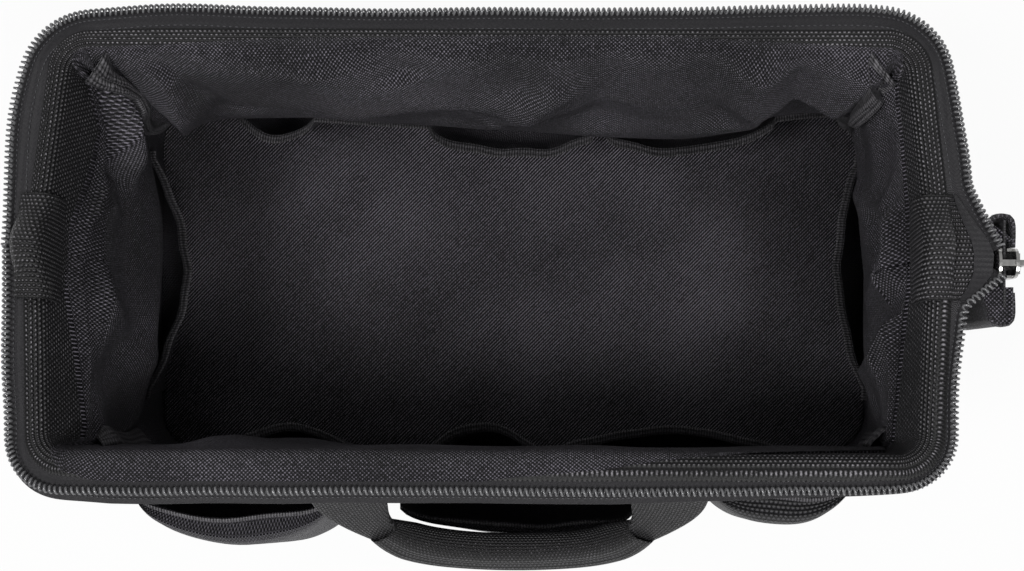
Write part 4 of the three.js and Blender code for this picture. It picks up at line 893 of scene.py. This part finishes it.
def coil_loops(place, out, even, pitch, width, height, centre, wire):
    """A helix of oval cross-section along the path, width * cos and height * sin of the angle round
    its centre, with fourteen steps to a turn: the coiled filament."""
    distance = np.linspace(0, even[-1], int(even[-1] / pitch) * 14 + 1)
    angle = distance / pitch * 2 * np.pi
    way = unit(along_line(distance, even, out))
    off = centre[0] + width * np.cos(angle)
    line = np.column_stack([along_line(distance, even, place) + way * off[:, None],
                            centre[1] + height * np.sin(angle)])
    along = unit(np.gradient(line, axis=0))
    outward = np.column_stack([way * np.cos(angle)[:, None], np.sin(angle)])
    return filament(line, np.cross(along, np.cross(along, outward)), wire)


# The sewn zip wanders off the rim's plain line: (share of its way from the slider, millimetres out),
# smoothed twice over seven of 160 places.
WANDER = {
    "rear": ([0, 0.02, 0.055, 0.1, 0.139, 0.175, 0.232, 0.275, 0.36, 0.45, 0.5,
              0.55, 0.62, 0.7, 0.75, 0.793, 0.83, 0.881, 0.91, 0.94, 0.967, 1],
             [0, 0.2, 4.8, 3.2, 1.4, 0.4, 3.7, 3.3, 2.0, 1.2, 2.2,
              1.0, 0.9, 2.4, 3.2, 0, -1.0, 3.7, 4.4, 2.2, 0.3, -2.0]),
    "front": ([0, 0.02, 0.055, 0.085, 0.14, 0.22, 0.35, 0.6, 0.75, 0.82, 0.866, 0.91, 0.94, 1],
              [0, 0, -0.8, -3.0, -1.8, -0.6, 0.9, 0.2, 0.6, 0.4, -2.2, -0.4, -1.3, -2.0]),
}


def wandering(gate, even):
    """How far out of the plain line the zip lies at each station, with a little unevenness."""
    share, wander = WANDER[gate]
    for _ in range(2):
        fine = np.linspace(0, 1, 160)
        padded = np.pad(np.interp(fine, share, wander), 3, "edge")
        share, wander = fine, np.convolve(padded, np.ones(7) / 7, "valid")
    uneven = 0.35 * ripple(even / 11, 0, 45) * part_of(even, 0, 60)
    return np.interp(even / even[-1], share, wander) + uneven


# How far the edge of the front tape stands out from its coil, by its share of the way round.
FRONT_LIP = [0, 0.14, 0.22, 0.4, 0.76, 0.86, 1], [0, 0, 0.8, 3.4, 3.8, 0, 0]
for gate, tip, turn in (("rear", 1.5, (1, 1, 1)), ("front", 13.5, (1, -1, 1))):
    place, out, even = zip_path(tip, 2.0)
    wander = wandering(gate, even)
    place = place + out * wander[:, None]
    across = np.linspace(0, 1, 8)
    beyond = np.clip(place[:, 0] - end_x(place[:, 1]), 0, 6) * part_of(even, 0, 12) * (even < 60)
    reach = (6.0 + 4.0 * part_of(even, 0, 15) + 0.5 * beyond + np.clip(wander, 0, None))[:, None]
    lip = np.interp(even / even[-1], *FRONT_LIP)[:, None] * (gate == "front")
    inset = 0.9 - lip + across * (reach + lip)
    wave = 0.2 * ripple(even[:, None] / 9, across * 2, 41) - 0.12 * np.clip(0.5 - inset, 0, None) ** 2
    crown = 0.25 * np.sin(across * np.pi)
    faces = [in_mouth(carried(place, out, np.stack([-inset, height + wave], -1)), turn)
             for height in (-4.75 + crown, -5.5)]
    tape = cloth(gate + "_zip_tape_cloth", *faces, points_of(even[:, None], across * 8.8),
                 material=zip_tape_cloth, body=gate + "_gate")
    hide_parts(gate + "_zip_tape")
    helix = coil_loops(place, out, even, pitch=2.3, width=1.35, height=1.25, centre=(-2.0, -2.6), wire=0.52)
    coil = tube(gate + "_zip_coil_loops", in_mouth(helix, turn), material=coil_nylon, body=gate + "_gate")
    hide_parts(gate + "_zip_coil")
    # Two rows of stitches: number, start, distance in from the edge, spacing and height.
    for row, first, inset, pitch, height in ((1, 20, 9.0, 2.6, -4.35), (2, 4, 4.4, 2.2, -4.5)):
        line = place - out * (inset - 1.35 * lip * (row - 1))
        spots = points_of(*along_line(np.arange(first, even[-1] - 8, pitch), even, line).T, height)
        ahead = in_mouth(spots + np.gradient(spots, axis=0), turn)
        spots = in_mouth(spots, turn)
        up = from_mouth(0.0, 0.0, 1.0) - from_mouth(0.0, 0.0, 0.0)
        sewn = stitches(f"{gate}_zip_stitches_{row}", spots, unit(ahead - spots), up, pitch * 0.62, 0.28,
                        material=thread, body=gate + "_gate")

# Zip tail. Both tapes run down outside the right end with a slot between them; the slider rides
# here, above a small metal stop. A folded cloth tab is sewn round the tail as something to hold.
for name, low, high in (("zip_tail_tape_a", -18.0, -1.8), ("zip_tail_tape_b", 1.8, 18.0)):
    y, z = grid(np.linspace(low, high, 15), np.linspace(-58.2, -6.4, 40))
    wave = 0.12 * ripple(y / 6, z / 9, 51)
    faces = [points_of(ZIP_END[0] + x + wave, ZIP_END[1] + y, HINGE_HEIGHT + z) for x in (0.4, -0.4)]
    tail = cloth(name, *faces, points_of(z, y), material=zip_tape_cloth, body="root")
    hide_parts("zip_tail")
TAIL_COIL, TAIL_PITCH = 25.5, 2.2
for name, side in (("zip_tail_coil_a", -1), ("zip_tail_coil_b", 1)):
    angle = np.linspace(0, TAIL_COIL / TAIL_PITCH * 2 * np.pi, 12 * 14)
    y = side * (3.1 + 1.2 * np.cos(angle))
    line = points_of(ZIP_END[0] + 1.7 + 1.0 * np.sin(angle), ZIP_END[1] + y,
                     HINGE_HEIGHT - 14.5 - TAIL_COIL * angle / angle[-1])
    across = np.cross(unit(np.gradient(line, axis=0)), (0, 0, 1.0))
    tail_coil = tube(name, filament(line, across, 0.4), material=coil_nylon, body="root")

# The tab's outline from above, open on the outside where the slider runs, in x and y from the
# zip's end.
TAB_FOLD = np.array([[3.8, -9.5], [4.0, -14], [4.0, -18], [3.6, -20.2], [2.4, -21.6], [0, -22.0],
                     [-2.8, -21.7], [-4.3, -20.0], [-4.5, -10]])
corners = np.concatenate([TAB_FOLD, TAB_FOLD[::-1] * (1, -1)])
profile, way, across = even_path(corners, count=90)
z = np.linspace(-62.0, -8.4, 60)
hem = 0.48 * np.exp(-((z + 10.8) / 1.9) ** 4)[:, None]
wave = 0.3 * ripple(across[:, None] / 11, z / 13, 61)
faces = []
for depth in (-hem, 1.3 + hem):
    x, y = np.moveaxis(profile[:, None] - way[:, None] * depth + ZIP_END + (0, -2.5), -1, 0)
    faces.append(points_of(x + wave, y, HINGE_HEIGHT + z))
tab = cloth("zip_end_tab_cloth", *faces, np.stack(grid(across, z), -1), material=wall_cloth, body="root")
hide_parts("zip_end_tab")
# Its two upper folds, to the front and to the rear of the slider.
for name, low, high in (("zip_end_tab_top_a", -25.0, -9.8), ("zip_end_tab_top_b", 9.4, 16.0)):
    u, v = grid(np.linspace(0, 1, 24), np.linspace(0, 1, 24))
    place = low + (high - low) * v
    tip = low if low < 0 else high
    rounding = 3.0 * part_of(np.abs(place - tip), 4.0, 0) ** 2
    far = np.abs(place / tip)
    left = -11.5 + 9.0 * far ** 2 * (low < 0)
    right = 3.9 - 7.0 * part_of(far, 0.6, 1.0) * (low > 0)
    x = ZIP_END[0] + left + (right - left - 0.5 * rounding) * u
    y = ZIP_END[1] + place
    rolled = 0.9 * mound(u, 0.93, 0.07) + 0.25 * ripple(u * 5, v * 5, 63)
    height = HINGE_HEIGHT - 7.6 - 0.6 * u
    faces = [points_of(x, y, height + rolled * lift + base) for lift, base in ((1.0, 0.6), (-0.7, -0.6))]
    top_fold = cloth(name, *faces, points_of(x, y), material=wall_cloth, body="root")

# Handles. Webbing sewn to squares on the sleeve runs out in a loop; its middle is folded together
# and wrapped in a second layer of webbing, stitched along, to make the grip.
HANDLE_HALF, HANDLE_REACH, LOOP_POWER = 68.5, 64.6, 0.77
HANDLE_SEAT = (94.55, -12.0)
# For each handle: the x of its middle, how far it hangs, in degrees, and its side of the bag.
HANDLES = {"front": (9.5, -55.0, -1), "rear": (0.0, -90.0, 1)}


def squared(wave, power):
    """A sine or cosine drawn towards a square: its sign times its size to a power below 1."""
    return np.sign(wave) * np.abs(wave) ** power


def handle_path(count):
    """The loop: x = half * cos(t) ^ 0.77 and y = reach * sin(t) ^ 0.77, evenly spaced along its length.
    Gives t, then place, way out and distance."""
    t = np.linspace(0.0005, np.pi - 0.0005, 4000)
    line = squared(np.stack([np.cos(t), np.sin(t)], -1), LOOP_POWER) * (HANDLE_HALF, HANDLE_REACH)
    place, out, even = even_path(line, count=count)
    return np.interp(even, walked(line), t), place, out, even


def hung(name, flat):
    """From the loop's own plane to its place: turned about the hinge line where it leaves the sleeve."""
    centre, drop, side = HANDLES[name]
    cos, sin = np.cos(np.radians(drop)), np.sin(np.radians(drop))
    x, y, z = np.moveaxis(flat, -1, 0)
    _, seat_y, seat_z = from_mouth(0.0, side * HANDLE_SEAT[0], HANDLE_SEAT[1])
    return points_of(side * x + centre, side * (y * cos - z * sin) + seat_y, y * sin + z * cos + seat_z)


for name, (centre, drop, side) in HANDLES.items():
    turn, place, out, even = handle_path(150)
    folded = eased(part_of(np.sin(turn), 0.2, 0.72))[:, None]
    wide, thick = STRAP_HALF - 8.5 * folded, 0.8 + 1.7 * folded
    corner = np.linspace(0, 2 * np.pi, 25)[:-1]
    oval_x, oval_y = squared(np.cos(corner), 0.35), squared(np.sin(corner), 0.5)
    world = hung(name, carried(place, out, np.stack([wide * oval_x, thick * oval_y], -1)))
    web = tube(name + "_handle_webbing", world, points_of(even[:, None], oval_x * wide + 20),
               material=strap_webbing, body=name + "_handle")
    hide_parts(name + "_handle_web")

    # The grip: an oval with a seam along both faces, narrower at its ends, where it is tucked in.
    held = np.abs(turn - np.pi / 2) < np.radians(52)
    place, out, even = place[held], out[held], even[held]
    part = even - even[0]
    part = part / part[-1]
    narrow = 1 - 0.3 * np.clip(np.abs(2 * part - 1) * 4 - 3, 0, 1) ** 1.5
    corner = np.linspace(0, 2 * np.pi, 41)[:-1]
    seam = 1 - 0.10 * (mound(corner, np.pi / 2, 0.16) + mound(corner, 1.5 * np.pi, 0.16))
    oval = np.stack([10.8 * squared(np.cos(corner), 0.8) * seam, 7.3 * np.sin(corner) * seam], -1)
    shape = oval * narrow[:, None, None] + 0.15 * ripple(even[:, None] / 7, corner * 2, 71)[..., None]
    inner = np.stack([8.0 * np.cos(corner), 3.0 * np.sin(corner)], -1)[None]
    tucked = [carried(place[[k]], out[[k]], inner) + (*(place[next_in] - place[k]), 0.0)
              for k, next_in in ((0, 2), (-1, -3))]
    world = hung(name, np.concatenate([tucked[0], carried(place, out, shape), tucked[1]]))
    along_grip = np.concatenate([[even[0] - 3], even, [even[-1] + 3]])
    grip = tube(name + "_grip_wrap", world, points_of(along_grip[:, None], corner * 9.2),
                material=strap_webbing, body=name + "_handle")
    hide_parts(name + "_handle_grip")

    # The webbing squares on the sleeve, one under each end of the loop.
    for tag, offset in (("a", -HANDLE_HALF), ("b", HANDLE_HALF)):
        middle = centre * side + offset
        width = np.linspace(middle - STRAP_HALF, middle + STRAP_HALF, 17)
        u, z = grid(width, np.linspace(WEBBING_FOOT, -9.2, 22))
        faces = [from_mouth(u * side, side * (GATE_DEPTH + sleeve_face(z) + off), z) for off in (0.4, 1.8)]
        patch = cloth(f"{name}_handle_square_{tag}", *faces, points_of(u, z), material=strap_webbing,
                      body=name + "_gate")
        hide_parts(f"{name}_handle_patch_{tag}")

# Setting. A plain pale floor that shows white and keeps the bag's shadow, two soft lights above it to
# the left and to the front right, and the camera over the bag, a little towards its front and right.
stage_paint, node, shader = finish("pale_floor", 0.9, colour=(0.8, 0.8, 0.8))
bpy.context.scene.view_settings.view_transform = "Standard"
ray = node("LightPath").outputs
mirrored = sums(node, "MAXIMUM", ray["Is Glossy Ray"], ray["Is Transmission Ray"])
seen = sums(node, "MAXIMUM", ray["Is Camera Ray"], mirrored)
white = node("Emission", {"Color": (1, 1, 1, 1), "Strength": 1.0}).outputs[0]
shown = sums(node, "MULTIPLY", seen, 0.93)
mixed = node("MixShader", {0: shown, 1: shader.outputs[0], 2: white}).outputs[0]
join(mixed, stage_paint.node_tree.nodes["Material Output"].inputs["Surface"])
corners = np.array([[-1, -1, -1], [1, -1, -1], [1, 1, -1], [-1, 1, -1]]) * (4000, 4000, 0.5)
floor = mesh_piece("pale_floor", corners, [[0, 1, 2, 3]], material=stage_paint, smooth=False)

# The world shows white to the camera and lights the bag with 0.38 of that.
world = bpy.data.worlds.new("soft_daylight")
bpy.context.scene.world = world
world.use_nodes = True
sky = world.node_tree.nodes["Background"]
sky.inputs["Color"].default_value = (1, 1, 1, 1)
ray = world.node_tree.nodes.new("ShaderNodeLightPath")
level = world.node_tree.nodes.new("ShaderNodeMapRange")
level.inputs["To Min"].default_value = 0.38
join(ray.outputs["Is Camera Ray"], level.inputs["Value"])
join(level.outputs["Result"], sky.inputs["Strength"])
for name, place, size, watts in [
    ("soft_light_left", (-0.7, -0.4, 1.9), 0.4, 16.5),
    ("soft_light_right", (0.6, -0.7, 1.9), 0.5, 14.5),
]:
    lamp = bpy.data.lights.new(name, "AREA")
    lamp.size = size
    lamp.energy = watts
    light = bpy.data.objects.new(name, lamp)
    bpy.context.scene.collection.objects.link(light)
    light.location = place
    light.rotation_euler = (Vector((0, 0, 0.05)) - Vector(place)).to_track_quat("-Z", "Y").to_euler()

camera_data = bpy.data.cameras.new("camera")
camera_data.lens = 45.55
camera = bpy.data.objects.new("camera", camera_data)
bpy.context.scene.collection.objects.link(camera)
bpy.context.scene.camera = camera
camera.location = (0.0465, -0.053, 0.725)
camera.rotation_euler = (0, 0, 0.0024)
camera_data.shift_x = -0.0834
camera_data.shift_y = 0.0872

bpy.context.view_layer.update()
